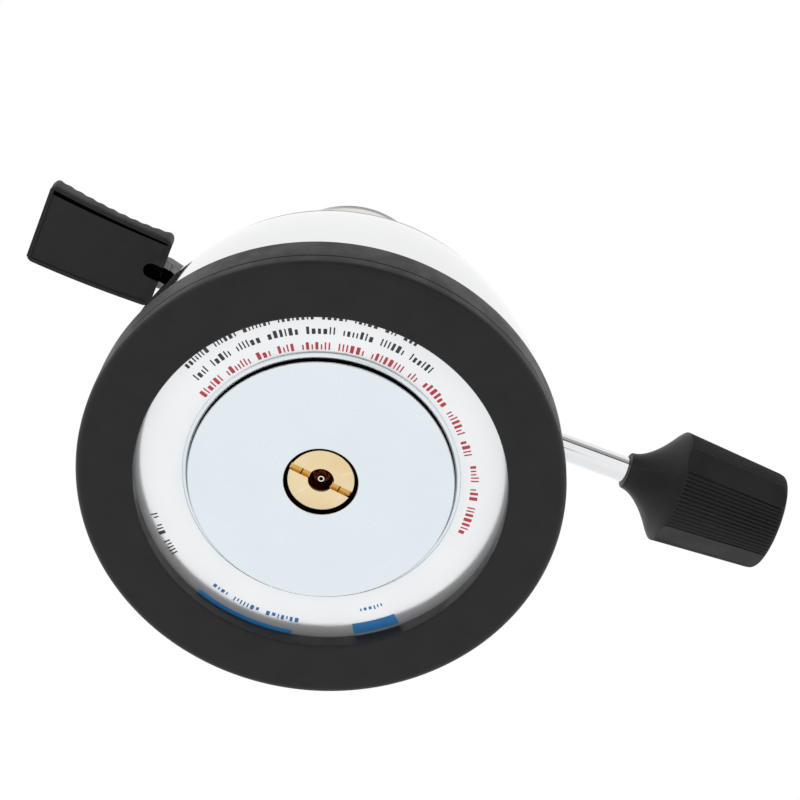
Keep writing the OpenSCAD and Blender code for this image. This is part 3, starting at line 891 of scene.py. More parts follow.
class Assembly:
    """Shared ways of dressing pieces."""

    body: Body = Body.MAIN

    def dress(self, thing: bpy.types.Object, finish: Finish, *nodes: str, body: Body | None = None) -> bpy.types.Object:
        """Gives a piece its finish, the nodes it stands for and the body it rides on.

        Args:
            thing: the piece.
            finish: its finish.
            nodes: the CAD nodes that it stands for.
            body: the body, where it isn't the assembly's own.

        Returns:
            The piece.
        """
        thing.data.materials.clear()
        thing.data.materials.append(finish.material())
        if nodes:
            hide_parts(*nodes)
        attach(thing, (body or self.body).value)
        log.info("%s: %d faces, %s", thing.name, len(thing.data.polygons), finish.name)
        return thing

    def inlay(self, thing: bpy.types.Object, finish: Finish, inside: Callable[[Vector], bool],
              home: Matrix | None = None) -> None:
        """Gives some faces of a dressed piece a second finish.

        Args:
            thing: the piece.
            finish: the second finish.
            inside: says of a face's middle, in millimetres, whether the face takes it.
            home: matrix back to the sizes that the piece was drawn in.
        """
        thing.data.materials.append(finish.material())
        back = home or Matrix()
        for face in thing.data.polygons:
            if inside(back @ (face.center / MM)):
                face.material_index = len(thing.data.materials) - 1

    def refinish(self, node: str, finish: Finish) -> None:
        """Gives a CAD node that stays a better material."""
        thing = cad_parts[node]
        if thing.material_slots:
            for holder in thing.material_slots:
                holder.material = finish.material()
        else:
            thing.data.materials.append(finish.material())
        log.info("%s keeps its shape, %s", node, finish.name)

    def build(self) -> None:
        """Makes every piece of the assembly."""
        raise NotImplementedError


@dataclass
class Base(Assembly):
    """Rubber ring, base plate and label."""

    ring_r: float = 44.8
    ring_h: float = 10.9
    inner_r: float = 34.2
    bead: float = 2.5
    crease_z: float = 3.6
    shell_r: float = 43.8
    plate_z: float = 4.0
    plate_t: float = 1.2
    disc_z: float = 2.0
    disc_r: float = 24.5
    valve_hole_r: float = 6.87
    label_z: float = 3.85
    label_out: float = 36.0
    label_in: float = 25.5
    ink: float = 0.012

    def ring(self) -> None:
        """The black rubber ring with its lip, bead and crease."""
        wall = self.shell_r + 0.05
        crease = self.crease_z
        corners = [
            (self.inner_r, 0, 0.6), (self.ring_r, 0, self.bead), (self.ring_r - 0.02, crease - 0.22, 0.1),
            (self.ring_r - 0.36, crease, 0.08), (self.ring_r - 0.06, crease + 0.25, 0.12),
            (self.ring_r - 0.5, self.ring_h - 0.4, 0.3), (self.ring_r - 0.85, self.ring_h, 0.25),
            (wall, self.ring_h, 0.06), (wall, self.plate_z, 0), (36.2, self.plate_z, 0),
            (36.2, self.plate_z - 0.2, 0), (self.inner_r + 0.2, self.plate_z - 0.2, 0.15),
            (self.inner_r, self.plate_z - 0.7, 0.2)]
        thing = turned("rubber_base_ring", rounded(corners, 8), segments=256)
        self.dress(thing, BLACK_RUBBER, "base_ring")

    def plate(self) -> None:
        """The plated base with its raised disc and valve collar."""
        top = self.plate_z + self.plate_t
        root = 0.8
        corners = [
            (self.valve_hole_r, self.disc_z, 0.3), (self.disc_r, self.disc_z, 0.3),
            (self.disc_r + 0.02, self.plate_z, root), (self.shell_r - 0.05, self.plate_z, 0.1),
            (self.shell_r - 0.05, top, 0.1), (self.disc_r - 1.3, top, 0.4),
            (self.disc_r - 1.3, self.disc_z + self.plate_t, 0.5), (9, self.disc_z + self.plate_t, 0.4), (9, 9, 0.3),
            (4.45, 9, 0.1), (4.45, 4.7, 0.1), (self.valve_hole_r, 4.7, 0.1)]
        thing = self.dress(turned("base_disc", rounded(corners, 6), segments=224), PLATED_STEEL, "base_plate")

        def shadowed(spot: Vector) -> bool:
            """The disc's side wall, and the wall of the hole round the valve, which take painted shadow."""
            away = math.hypot(spot.x, spot.y)
            wall = self.disc_r - 0.03 < away < self.disc_r + 0.5 and self.disc_z + 0.3 < spot.z < self.plate_z - 0.35
            return wall or (away < self.valve_hole_r + 0.01 and spot.z > self.disc_z + 0.75)

        # Painted shadow on the disc's side wall and on the wall of the hole round the valve.
        self.inlay(thing, PAINTED_SHADOW_BLACK, shadowed)

    def label(self) -> None:
        """The foil ring under the lip."""
        corners = [(self.label_in, self.plate_z, 0), (self.label_in, self.label_z, 0.05),
                   (self.label_out, self.label_z, 0.05), (self.label_out, self.plate_z, 0)]
        self.dress(turned("foil_label", rounded(corners, 3), segments=192), FOIL, "base_label")

    def tick(self, radius: float, height: float, turn: float, width: float) -> bpy.types.Object:
        """One small printed bar on the label.

        Args:
            radius: distance of its middle from the axis.
            height: its size away from the axis.
            turn: its place round the axis in degrees.
            width: its size round the axis.

        Returns:
            The bar.
        """
        corners = [(-height / 2, -width / 2, 0.12), (height / 2, -width / 2, 0.12),
                   (height / 2, width / 2, 0.12), (-height / 2, width / 2, 0.12)]
        bar = slab("tick", rounded(corners, 3), self.label_z - self.ink, self.label_z)
        return moved(bar, around(turn, radius))

    def row(self, radius: float, height: float, start: float, end: float, seed: int) -> list[bpy.types.Object]:
        """A broken row of plain bars, grouped like a printed line but saying nothing.

        Args:
            radius: the row's distance from the axis.
            height: height of the bars.
            start: where it starts, in degrees.
            end: where it ends, in degrees.
            seed: seed of its random order.

        Returns:
            The bars.
        """
        chance = random.Random(seed)
        bars, turn = [], start
        while turn < end:
            group = chance.randint(3, 8)
            for _ in range(group):
                width = chance.choice((0.28, 0.28, 0.55, 0.7))
                step = math.degrees((width + 0.42) / radius)
                if turn + step > end:
                    return bars
                size = height * chance.choice((1.0, 1.0, 0.72))
                bars.append(self.tick(radius - (height - size) / 2, size, turn + step / 2, width))
                turn += step
            turn += math.degrees(1.1 / radius)
        return bars

    def band(self, radius: float, width: float, start: float, end: float) -> bpy.types.Object:
        """A plain printed band along an arc of the label."""
        outline = arc((0, 0), radius - width / 2, start, end, 40) + arc((0, 0), radius + width / 2, end, start, 40)
        return slab("band", outline, self.label_z - self.ink, self.label_z)

    def print_marks(self) -> None:
        """Rows of plain bars in black and red, and two plain blue bands."""
        black = self.row(30.0, 1.5, -160, -68, 3) + self.row(32.8, 1.4, -159, -78, 5)
        black += self.row(32.2, 1.3, 127, 145, 7)
        self.dress(joined("label_marks_black", black), BLACK_INK)
        red = self.row(26.9, 1.5, -164, -70, 11) + self.row(27.3, 1.5, -68, -30, 12) + self.row(28.1, 1.5, -28, 4, 13)
        self.dress(joined("label_marks_red", red), RED_INK)
        blue = [self.band(32.9, 2.2, 44, 59), self.band(34.3, 1.5, 79, 112)]
        blue += self.row(31.2, 1.0, 77, 111, 17) + self.row(29.2, 0.9, 46, 57, 19)
        self.dress(joined("label_marks_blue", blue), BLUE_INK)

    def build(self) -> None:
        """Makes the ring, plate, label and its marks."""
        self.ring()
        self.plate()
        self.label()
        self.print_marks()


@dataclass
class Shell(Assembly):
    """The polished outer shell and the tank inside it."""

    radius: float = 43.8
    start_z: float = 5.2
    side_z: float = 10.9
    bow: float = 132.0
    bow_z: float = -2.7
    deck_z: float = 42.05
    shoulder: float = 1.5
    opening: float = 28.0
    wall: float = 0.8
    painted_shade_low_z: float = 39.2
    painted_shade_high_z: float = 41.3
    painted_shade_in_r: float = 36.0

    def line(self, inset: float) -> list[Point2]:
        """Outline of the shell's side and shoulder, moved inwards by the inset."""
        bow_x = self.radius - math.sqrt(self.bow**2 - (self.side_z - self.bow_z) ** 2)
        top_z = self.deck_z - self.shoulder
        top_x = bow_x + math.sqrt((self.bow - self.shoulder) ** 2 - (top_z - self.bow_z) ** 2)
        first = math.degrees(math.asin((self.side_z - self.bow_z) / self.bow))
        last = math.degrees(math.atan2(top_z - self.bow_z, top_x - bow_x))
        side = arc((bow_x, self.bow_z), self.bow - inset, first, last, 28)
        turn = arc((top_x, top_z), self.shoulder - inset, last, 90, 10)
        foot = [(self.radius - inset, self.start_z), (self.radius - inset, self.side_z - 2)]
        return foot + side + turn[1:]

    def build(self) -> None:
        """Makes the shell with its painted shade band on the shoulder, and refinishes the tank."""
        rim = [(self.opening + 0.15, self.deck_z), (self.opening, self.deck_z - 0.15),
               (self.opening, self.deck_z - self.wall + 0.15), (self.opening + 0.15, self.deck_z - self.wall)]
        outline = self.line(0) + rim + self.line(self.wall)[::-1]
        thing = self.dress(turned("polished_shell", outline, segments=320), POLISHED_STEEL, "body_shell")
        # Painted shade band on the shoulder, in dark steel.
        self.inlay(thing, PAINTED_SHADE_STEEL, lambda spot: self.painted_shade_low_z < spot.z < self.painted_shade_high_z
                   and math.hypot(spot.x, spot.y) > self.painted_shade_in_r)
        self.refinish("tank_cup", DEEP_DRAWN_STEEL)
        self.refinish("valve_gasket", SEAL_RUBBER)
        self.refinish("takeoff_tube", TUBE_NYLON)
        self.refinish("takeoff_filter", FELT)


@dataclass
class FillingValve(Assembly):
    """Slotted brass valve in the middle of the base, with its sprung stem."""

    face_z: float = 2.75
    head_r: float = 6.22
    cone_r: float = 2.4
    cone_end_z: float = 5.2
    bore: float = 0.87
    slot_w: float = 1.36
    slot_z: float = 3.35
    slot_turn: float = 7.0
    step_at: float = 3.7
    step_w: float = 0.22
    step_deep: float = 0.15

    def valve(self) -> None:
        """The brass body with its countersink and screwdriver slot."""
        corners = [
            (self.cone_r, self.face_z, 0.1), (self.head_r, self.face_z, 0.2), (self.head_r, 4.25, 0.1),
            (4.42, 4.25, 0), (4.42, 9.2, 0.1), (4, 9.4, 0), (4, 17, 0.2), (0.5, 17, 0), (0.5, 15.8, 0),
            (2.2, 15.8, 0), (2.2, 8, 0), (self.bore, 8, 0), (self.bore, 5.4, 0), (1.6, self.cone_end_z, 0.05)]
        thing = turned("brass_filling_valve", rounded(corners, 4), segments=160)
        blades, steps = [], []
        for side in (0, 180):
            half = self.slot_w / 2
            outline = [(2.05, -half), (8, -half), (8, half), (2.05, half)]
            blades.append(moved(slab("blade", outline, 1.0, self.slot_z), around(self.slot_turn + side)))
            near, far, edge = self.step_at, self.step_at + self.step_w, half - 0.02
            step = [(near, -edge), (far, -edge), (far, edge), (near, edge)]
            steps.append(moved(slab("step", step, 1.0, self.slot_z + self.step_deep), around(self.slot_turn + side)))
        thing = cut(cut(thing, blades, 0.05), steps)
        self.dress(thing, VALVE_BRASS, "filling_valve")
        self.slot_finishes(thing)

    def slot_finishes(self, thing: bpy.types.Object) -> None:
        """Painted shade amber for the slot's floor and walls; painted shadow black for its steps and for the head's
        side.
        """
        home = Matrix.Rotation(math.radians(-self.slot_turn), 4, "Z")
        half = self.slot_w / 2

        def slot_floor(spot: Vector) -> bool:
            """The slot's floor and walls, outside the countersink, which take the painted shade amber."""
            return (self.face_z + 0.03 < spot.z < self.slot_z + 0.03 and abs(spot.y) < half + 0.02
                    and math.hypot(spot.x, spot.y) > self.cone_r - 0.1 and abs(spot.x) < self.head_r + 0.1)

        def step_floor(spot: Vector) -> bool:
            """The bottoms of the two steps, which take painted shadow."""
            inside = self.step_at + 0.02 < abs(spot.x) < self.step_at + self.step_w - 0.02 and abs(spot.y) < half
            return inside and self.slot_z + 0.05 < spot.z < self.slot_z + 0.3

        def head_side(spot: Vector) -> bool:
            """The side of the head, in the gap round it, which takes painted shadow."""
            return math.hypot(spot.x, spot.y) > self.head_r - 0.03 and spot.z > 2.95 and abs(spot.y) > half

        self.inlay(thing, PAINTED_SHADE_SLOT_BRASS, slot_floor, home)
        self.inlay(thing, PAINTED_SHADOW_BLACK, step_floor, home)
        self.inlay(thing, PAINTED_SHADOW_BLACK, head_side, home)

    def ring(self) -> None:
        """The rubber ring around the brass head: black rubber, given the painted shadow black so that it also stands
        for the shade in the gap round the head.
        """
        corners = [(6.25, 3.3, 0.15), (6.84, 3.3, 0.15), (6.84, 4.1, 0.1), (6.25, 4.1, 0.1)]
        self.dress(turned("valve_seal", rounded(corners, 4)), PAINTED_SHADOW_BLACK, "filling_valve_ring")

    def stem(self) -> None:
        """The hollow stem that a can's nozzle pushes in."""
        corners = [(0.37, 3.4, 0.05), (0.6, 3.4, 0.05), (0.61, 3.46, 0), (0.8, 3.46, 0.04), (0.8, 8.05, 0),
                   (1.9, 8.05, 0.1), (1.9, 9, 0.1), (0.8, 9, 0), (0.8, 10.4, 0.1), (0.37, 10.4, 0)]
        thing = turned("valve_stem", rounded(corners, 4), segments=64)
        self.dress(thing, STEM_BRASS, "filling_stem", body=Body.STEM)
        # Painted shadow inside the stem's bore and on the side of its lower end, down in the countersink.
        self.inlay(thing, PAINTED_SHADOW_BLACK, lambda spot: spot.z > 3.43 and (
            spot.z < 4.6 and math.hypot(spot.x, spot.y) > 0.62 or math.hypot(spot.x, spot.y) < 0.38))

    def build(self) -> None:
        """Makes the valve, its ring and stem."""
        self.valve()
        self.ring()
        self.stem()
        self.refinish("filling_spring", SPRING_STEEL)


@dataclass
class Housing(Assembly):
    """Vented dome on the shell's deck with its three screws."""

    deck_z: float = 42.05
    flange_r: float = 34.9
    flange_t: float = 0.8
    top_r: float = 12.6
    shaft_z: float = 50.0
    vents: int = 14
    vent_z: float = 49.8
    screw_ring_r: float = 32.9
    screw_turns: tuple[float, ...] = (90.0, 210.0, 330.0)

    def dome(self) -> None:
        """The dome with its shaft hole, lever slot and vents."""
        deck = self.deck_z
        outside = [(31.0, deck + 0.85), (30.6, 44), (29.4, 47), (28.3, 50.5), (26.4, 55), (22.6, 60), (17.6, 64.3),
                   (13, 66)]
        inside = [(12.75, 65.05), (17, 63.3), (21.8, 59.3), (25.5, 54.5), (27.4, 50.3), (28.5, 46.7), (29.7, deck)]
        flange = [(29.7, deck), (self.flange_r - 0.1, deck), (self.flange_r, deck + 0.1),
                  (self.flange_r, deck + self.flange_t - 0.15), (self.flange_r - 0.15, deck + self.flange_t),
                  (31.3, deck + self.flange_t)]
        lip = [(12.75, 66.0), (self.top_r, 65.85), (self.top_r, 65.2)]
        outline = flange + flowing(outside, 5) + lip + flowing(inside, 5)[:-1]
        thing = turned("vented_dome", outline, segments=240)
        cutters = [moved(drill(3.63, 20, 40, 40), Matrix.Translation((0, 0, self.shaft_z)) @ lying("X"))]
        slot = rounded([(51, -3.6, 0.5), (62.5, -3.6, 0.2), (62.5, 3.6, 0.2), (51, 3.6, 0.5)], 4)
        cutters.append(bar_cutter([(y, z) for z, y in slot], -36, -15))
        upright = [(y, z + self.vent_z) for z, y in stadium(5.2, 2.4)]
        for vent in range(self.vents):
            cutters.append(moved(bar_cutter(upright, 20, 36), around(360 * (vent + 0.5) / self.vents)))
        self.dress(cut(thing, cutters, 0.12), SATIN_STEEL, "upper_housing")

    def screws(self) -> None:
        """Slotted pan-head screws that hold the dome."""
        low = self.deck_z + self.flange_t
        corners = [(0, low - 5, 0), (1.25, low - 5, 0.3), (1.25, low, 0), (1.75, low, 0.05), (1.75, low + 0.9, 0.55),
                   (0, low + 0.9, 0)]
        made = []
        for order, turn in enumerate(self.screw_turns):
            blade = moved(slab("blade", [(-3, -0.3), (3, -0.3), (3, 0.3), (-3, 0.3)], low + 0.5, low + 2),
                          Matrix.Rotation(math.radians(35 + 70 * order), 4, "Z"))
            screw = cut(turned("screw", rounded(corners, 6), segments=48), [blade], 0.04)
            made.append(moved(screw, around(turn, self.screw_ring_r)))
        thing = joined("housing_screw_set", made)
        shade(thing, 32)
        self.dress(thing, ZINC_STEEL, "housing_screws")

    def build(self) -> None:
        """Makes the dome and its screws."""
        self.dome()
        self.screws()


@dataclass
class FlameValve(Assembly):
    """Valve block, shaft and fluted knob."""

    shaft_z: float = 50.0
    neck_x: float = 62.0
    cone: float = 9.4
    grip: float = 21.9
    shoulder_r: float = 11.5
    end_r: float = 9.95
    flat_turn: float = 29.3
    flat_half: float = 13.8
    ribs: int = 15
    rib_pitch: float = 4.3
    rib_depth: float = 0.30
    around_steps: int = 1080
    bore_r: float = 2.62

    def shaft(self) -> None:
        """The chromed needle shaft."""
        end = self.neck_x + 16.4
        corners = [(0, 2.1, 0), (0.35, 2.1, 0), (1.3, 4.6, 0), (1.3, 5.6, 0), (2, 5.8, 0), (2, 7.8, 0), (1.35, 7.8, 0),
                   (1.35, 9.2, 0), (2, 9.2, 0), (2, 12.55, 0), (2.6, 13.1, 0.1), (2.6, end, 0.4), (0, end, 0)]
        thing = turned("chromed_shaft_rod", rounded(corners, 4), Axis.SHAFT, (0, 0, self.shaft_z), 96)
        self.dress(thing, CHROME, "needle_shaft", body=Body.KNOB)

    def profile(self) -> list[Point2]:
        """(x, radius) along the knob's outside, from the neck to the end's centre."""
        shoulder = self.neck_x + self.cone
        end = shoulder + self.grip
        line = [(self.neck_x, self.bore_r), (self.neck_x, 3.45), (self.neck_x + 0.12, 3.62), (self.neck_x + 0.3, 3.7)]
        for step in range(1, 19):
            t = step / 19
            line.append((self.neck_x + 0.35 + (self.cone - 0.75) * t, 3.72 + (self.shoulder_r - 4.05) * t**1.7))
        line += [(shoulder - 0.28, self.shoulder_r - 0.32), (shoulder - 0.10, self.shoulder_r - 0.14),
                 (shoulder + 0.08, self.shoulder_r - 0.03), (shoulder + 0.35, self.shoulder_r - 0.01)]
        slope = (self.end_r - self.shoulder_r) / self.grip
        for x in (0.6, 1.0, 1.5, 3, 6, 9, 12, 15, 18, self.grip - 1.3):
            line.append((shoulder + x, self.shoulder_r + slope * x))
        line += [(end - 1 + math.sin(a) * 1.0, self.end_r - 0.95 + math.cos(a) * 0.95)
                 for a in (math.radians(d) for d in (8, 22, 36, 50, 64, 78, 90))]
        line += [(end, r) for r in (8.0, 6.0, 3.0, 1.2)]
        return line

    def rib(self, turn: float, x: float) -> float:
        """Depth of the fluting.

        Args:
            turn: place round the knob, in degrees.
            x: place along the knob.

        Returns:
            How far the surface lies below the cone.
        """
        shoulder = self.neck_x + self.cone
        fade = min(max((x - shoulder - 0.05) / 0.3, 0.0), 1.0)
        fade *= min(max((shoulder + self.grip - 0.2 - x) / 0.6, 0.0), 1.0)
        off = (turn - self.flat_turn) % 90 - 45
        if abs(off) > self.ribs * self.rib_pitch / 2:
            return 0.0
        wave = 0.5 - 0.5 * math.cos(2 * math.pi * (off / self.rib_pitch + 0.5))
        return self.rib_depth * fade * wave**1.5

    def knob(self) -> None:
        """The knob: flared cone, four flats and four fluted sectors."""
        shoulder = self.neck_x + self.cone
        slope = (self.end_r - self.shoulder_r) / self.grip
        flat_d = self.shoulder_r * math.cos(math.radians(self.flat_half))
        line = self.profile()
        points: list[Point3] = []
        for x, radius in line:
            plane = flat_d + slope * (x - shoulder)
            for step in range(self.around_steps):
                turn = 360 * step / self.around_steps
                off = (turn - self.flat_turn + 45) % 90 - 45
                reach = min(radius, plane / math.cos(math.radians(off)))
                if radius > 7 and reach == radius:
                    reach -= self.rib(turn, x)
                a = math.radians(turn)
                points.append((x, reach * math.cos(a), self.shaft_z + reach * math.sin(a)))
        rows, ring = len(line), self.around_steps
        faces: list[tuple[int, ...]] = []
        for row in range(rows - 1):
            faces += band_of_faces(row * ring, (row + 1) * ring, ring)
        faces.append(tuple((rows - 1) * ring + k for k in range(ring)))
        inner = len(points)
        for x in (self.neck_x, self.neck_x + 17):
            for step in range(ring):
                a = 2 * math.pi * step / ring
                points.append((x, self.bore_r * math.cos(a), self.shaft_z + self.bore_r * math.sin(a)))
        faces += band_of_faces(inner, inner + ring, ring)
        faces.append(tuple(inner + ring + k for k in range(ring)))
        thing = solid("fluted_knob", points, faces, 24)
        hole = moved(drill(1.5, 0, 20, 40), Matrix.Translation((self.neck_x + 6, 0, self.shaft_z)))
        self.dress(cut(thing, [hole]), BLACK_PLASTIC, "knob", body=Body.KNOB)
        shade(thing, 24)

    def bush(self) -> None:
        """The nylon bush that guides the shaft through the dome."""
        corners = [(2.68, 26.4, 0.1), (3.6, 26.4, 0.2), (3.6, 30.7, 0), (4.8, 30.7, 0.15), (4.8, 31.9, 0.5),
                   (2.68, 31.9, 0.3)]
        thing = turned("shaft_guide", rounded(corners, 5), Axis.SHAFT, (0, 0, self.shaft_z), 96)
        self.dress(thing, BUSH_NYLON, "shaft_bush")

    def build(self) -> None:
        """Makes the shaft, knob and bush, and refinishes the inner pieces."""
        self.shaft()
        self.knob()
        self.bush()
        for node in ("valve_block", "gland_nut", "gas_jet"):
            self.refinish(node, MACHINED_BRASS)
        self.refinish("lock_nut", ZINC_STEEL)
        self.refinish("shaft_o_ring", SEAL_RUBBER)
        self.refinish("knob_set_screw", DARK_STEEL)


@dataclass
class Igniter(Assembly):
    """Press-down lever, its bracket and the spark maker."""

    pivot_x: float = 10.0
    pivot_z: float = 56.8
    tilt: float = 3.4
    pad_start: float = 28.55
    pad_len: float = 26.4
    pad_w: float = 15.4
    pad_end_w: float = 17.5
    arm_w: float = 6.2
    arm_h: float = 2.9
    rise: float = 3.4
    rib_pitch: float = 2.42
    lead: tuple[Point3, ...] = (
        (-17.4, 0, 42), (-16, 0, 42), (-14.4, 0.9, 42), (-13.6, 3, 42), (-13.5, 5, 42.1), (-13.3, 7, 43),
        (-12.6, 8.7, 45), (-11.4, 10, 48), (-9.8, 10.8, 51.5), (-7.6, 11.1, 55), (-5, 11, 58.4), (-2.6, 10.5, 61.6),
        (-0.8, 9.9, 64.6), (0, 9.5, 67), (0, 9.5, 69))

    def carry(self) -> Matrix:
        """Matrix from lever sizes (X outwards, Z up, pivot at 0) to the frame."""
        turn = Matrix.Rotation(math.radians(self.tilt), 4, "Y")
        flip = Matrix.Scale(-1, 4, (1, 0, 0))
        return Matrix.Translation((-self.pivot_x, 0, self.pivot_z)) @ turn @ flip

    def onto_lever(self, thing: bpy.types.Object) -> bpy.types.Object:
        """Moves a piece drawn in lever sizes into the frame and mends its normals."""
        moved(thing, self.carry())
        thing.data.flip_normals()
        shade(thing, 30)
        return thing

    def foot(self, u: float) -> float:
        """Height of the pad's underside, u millimetres from its inner end."""
        return 1.65 + 1.85 * (max(u - 6, 0.0) / 20.4) ** 2

    def top(self, u: float) -> float:
        """Height of the pad's dished and ribbed top, u millimetres from its inner end."""
        dish = 2.85 * ((u - 9) / 16.4) ** 1.8 if u > 9 else 0.0188 * (9 - u) ** 2
        rib = 0.17 * math.cos(2 * math.pi * (max(u, 1.18) - 3.6) / self.rib_pitch)
        return 4.5 + dish + rib - self.round_off(u, 1.0, 0.9) - self.round_off(self.pad_len - u, 1.6, 1.4)

    @staticmethod
    def round_off(away: float, reach: float, drop: float) -> float:
        """Drop of a rounded end, at a distance from it."""
        return drop * (1 - math.sqrt(max(1 - (1 - away / reach) ** 2, 0.0))) if away < reach else 0.0

    def pad(self) -> None:
        """The thumb pad: ribbed dished top, rim with a groove, hollow underside."""
        corner, rim, deep = 1.4, 0.85, 0.22
        stations: list[tuple[float, float]] = []
        for step in range(9):
            a = math.pi / 2 * step / 8
            stations.append((corner - corner * math.cos(a), corner - corner * math.sin(a)))
        count = 176
        stations += [(corner + (self.pad_len - 2 * corner) * k / count, 0.0) for k in range(1, count)]
        stations += [(self.pad_len - u, inset) for u, inset in stations[8::-1]]
        sections = []
        hollow = [(u, inset, 0.0) for u, inset in stations if u < rim or u > self.pad_len - rim]
        hollow += [(u, inset, deep) for u, inset in stations if rim < u < self.pad_len - rim]
        hollow += [(u, corner - math.sqrt(max(corner**2 - (corner - rim) ** 2, 0)), d)
                   for u in (rim, self.pad_len - rim) for d in (0.0, deep)]

        def order(item: tuple[float, float, float]) -> tuple[float, float]:
            """Along the pad; at the rim's inner edge the shallow one lies outside."""
            u, _, depth = item
            return (round(u, 5), depth if u < self.pad_len / 2 else -depth)

        def side(u: float, inset: float, depth: float, near: bool) -> list[Point2]:
            """(distance from the middle, height) from the hollow's edge up to the top's middle."""
            half = (self.pad_w + (self.pad_end_w - self.pad_w) * u / self.pad_len) / 2
            w, inner, foot, head = half - inset, half - rim, self.foot(u), self.top(u)
            gap = (0.5 + 0.55 * u / self.pad_len) if near else 0.12
            sunk = 0.58 if near and depth else 0.0
            line = [(inner - gap, foot + depth), (inner - gap + 0.01, foot + depth + sunk),
                    (inner - 0.01, foot + depth + sunk), (inner, foot + 0.06 * (depth > 0)), (inner + 0.06, foot),
                    (w - 0.12, foot), (w - 0.03, foot + 0.04), (w, foot + 0.13), (w, foot + 0.42),
                    (w - 0.12, foot + 0.5), (w - 0.12, foot + 0.56), (w, foot + 0.64), (w, head - 0.35),
                    (w - 0.06, head - 0.16), (w - 0.18, head - 0.05), (w - 0.4, head), (w * 0.5, head), (0.0, head)]
            return line

        for u, inset, depth in sorted(hollow, key=order):
            x = self.pad_start + u
            far, near = (side(u, inset, depth, kind) for kind in (False, True))
            sections.append([(x, y, z) for y, z in far] + [(x, -y, z) for y, z in near[-2::-1]])
        thing = loft("ribbed_lever_pad", sections, 30)
        slot = [(self.pad_start - 1, -1.6), (self.pad_start + 2.1, -1.6)]
        slot += arc((self.pad_start + 2.1, 0), 1.6, -90, 90, 14)[1:] + [(self.pad_start - 1, 1.6)]
        tongue = bar_cutter([(-3.13, 2.87), (3.13, 2.87), (3.13, 3.73), (-3.13, 3.73)], self.pad_start - 1,
                            self.pad_start + 7.53)
        thing = cut(thing, [slab("slot", slot, -1, 3.0)])
        thing = cut(thing, [tongue])
        self.dress(self.onto_lever(thing), BLACK_PLASTIC, "lever_pad", body=Body.LEVER)

        def dark(spot: Vector) -> bool:
            """The slot's walls, and the groove inside the near rim, which take painted shadow."""
            u = spot.x - self.pad_start
            half = (self.pad_w + (self.pad_end_w - self.pad_w) * u / self.pad_len) / 2 - rim
            in_slot = u < 3.72 and abs(spot.y) < 1.62 and spot.z < 3.1
            groove = self.foot(u) + deep + 0.02 < spot.z < self.foot(u) + 1.1 and rim + 0.05 < u < self.pad_len - rim
            return in_slot or (groove and -half - 0.05 < spot.y < -half + 1.2)

        self.inlay(thing, PAINTED_SHADOW_BLACK, dark, self.carry().inverted())

    def arm(self) -> None:
        """The folded steel arm: open below, stepped up to the pad, with a notch."""
        half, gap, leg, roof = self.arm_w / 2, self.arm_w / 2 - 1.5, self.arm_h / 2, 0.8
        end = self.pad_start - 0.02
        outline = rounded([(-half, -leg, 0.12), (-half, leg, 0.55), (half, leg, 0.55), (half, -leg, 0.12),
                           (gap, -leg, 0.12), (gap, leg - roof, 0.3), (-gap, leg - roof, 0.3), (-gap, -leg, 0.12)], 5)
        places = [(-1.45, 0.0, 0.0), (6, 0.0, 0.0), (12, 0.0, 0.0), (18, 0.0, 0.0), (20.8, 0.0, 0.14),
                  (27.8, self.rise, 0.14), (end, self.rise, 0.0)]
        body = loft("folded_arm", [[(x - lean * z, y, z + lift) for y, z in outline] for x, lift, lean in places])
        low, high = 2.9, 3.7
        root, neck, tip = 27.4, end + 0.01, self.pad_start + 7.5
        blade = slab("tongue", [(root, -gap), (neck, -gap), (neck, gap), (root, gap), (root, half), (tip, half),
                                (tip, -half), (root, -half)], low, high)
        weld = body.modifiers.new("weld", "BOOLEAN")
        weld.operation, weld.solver, weld.object = "UNION", "EXACT", blade
        settle(body)
        bpy.data.objects.remove(blade)
        pin = moved(drill(1.06, -8, 8, 40), lying("Y"))
        slope = Matrix.Rotation(-math.atan2(self.rise, 7), 4, "Y")
        notch = slab("notch", stadium(1.0, 0.32), -8, 8)
        moved(notch, Matrix.Translation((26.8, 0, 1.52)) @ slope @ lying("Y"))
        inner_roof = slab("front", [(-3, -gap), (5, -gap), (5, gap), (-3, gap)], -3, 3)
        rounding = []
        for level in (1, -1):
            turns = [math.radians(degree) for degree in range(10, 91, 10)]
            curve = [(-leg * math.cos(a), level * leg * math.sin(a)) for a in turns]
            wedge = [(-2, level * 3), (-2, 0), (-leg, 0), *curve, (0, level * 3)]
            rounding.append(loft("round", [[(x, y, z) for x, z in wedge] for y in (-9, 9)]))
        for tool in ([pin], [notch], [inner_roof], rounding[:1], rounding[1:]):
            body = cut(body, tool)
        self.dress(self.onto_lever(body), DARK_STEEL, "lever_arm", body=Body.LEVER)

        def channel(spot: Vector) -> bool:
            """The inside of the channel, and the tongue's underside, which take painted shadow."""
            lift = min(max((spot.x - 20.8) / 7, 0.0), 1.0) * self.rise
            under = spot.z < lift + leg - roof + 0.05 or (spot.x > end and spot.z < low + 0.1)
            return abs(spot.y) < gap + 0.03 and spot.x > 5 and under

        self.inlay(body, PAINTED_SHADOW_BLACK, channel, self.carry().inverted())

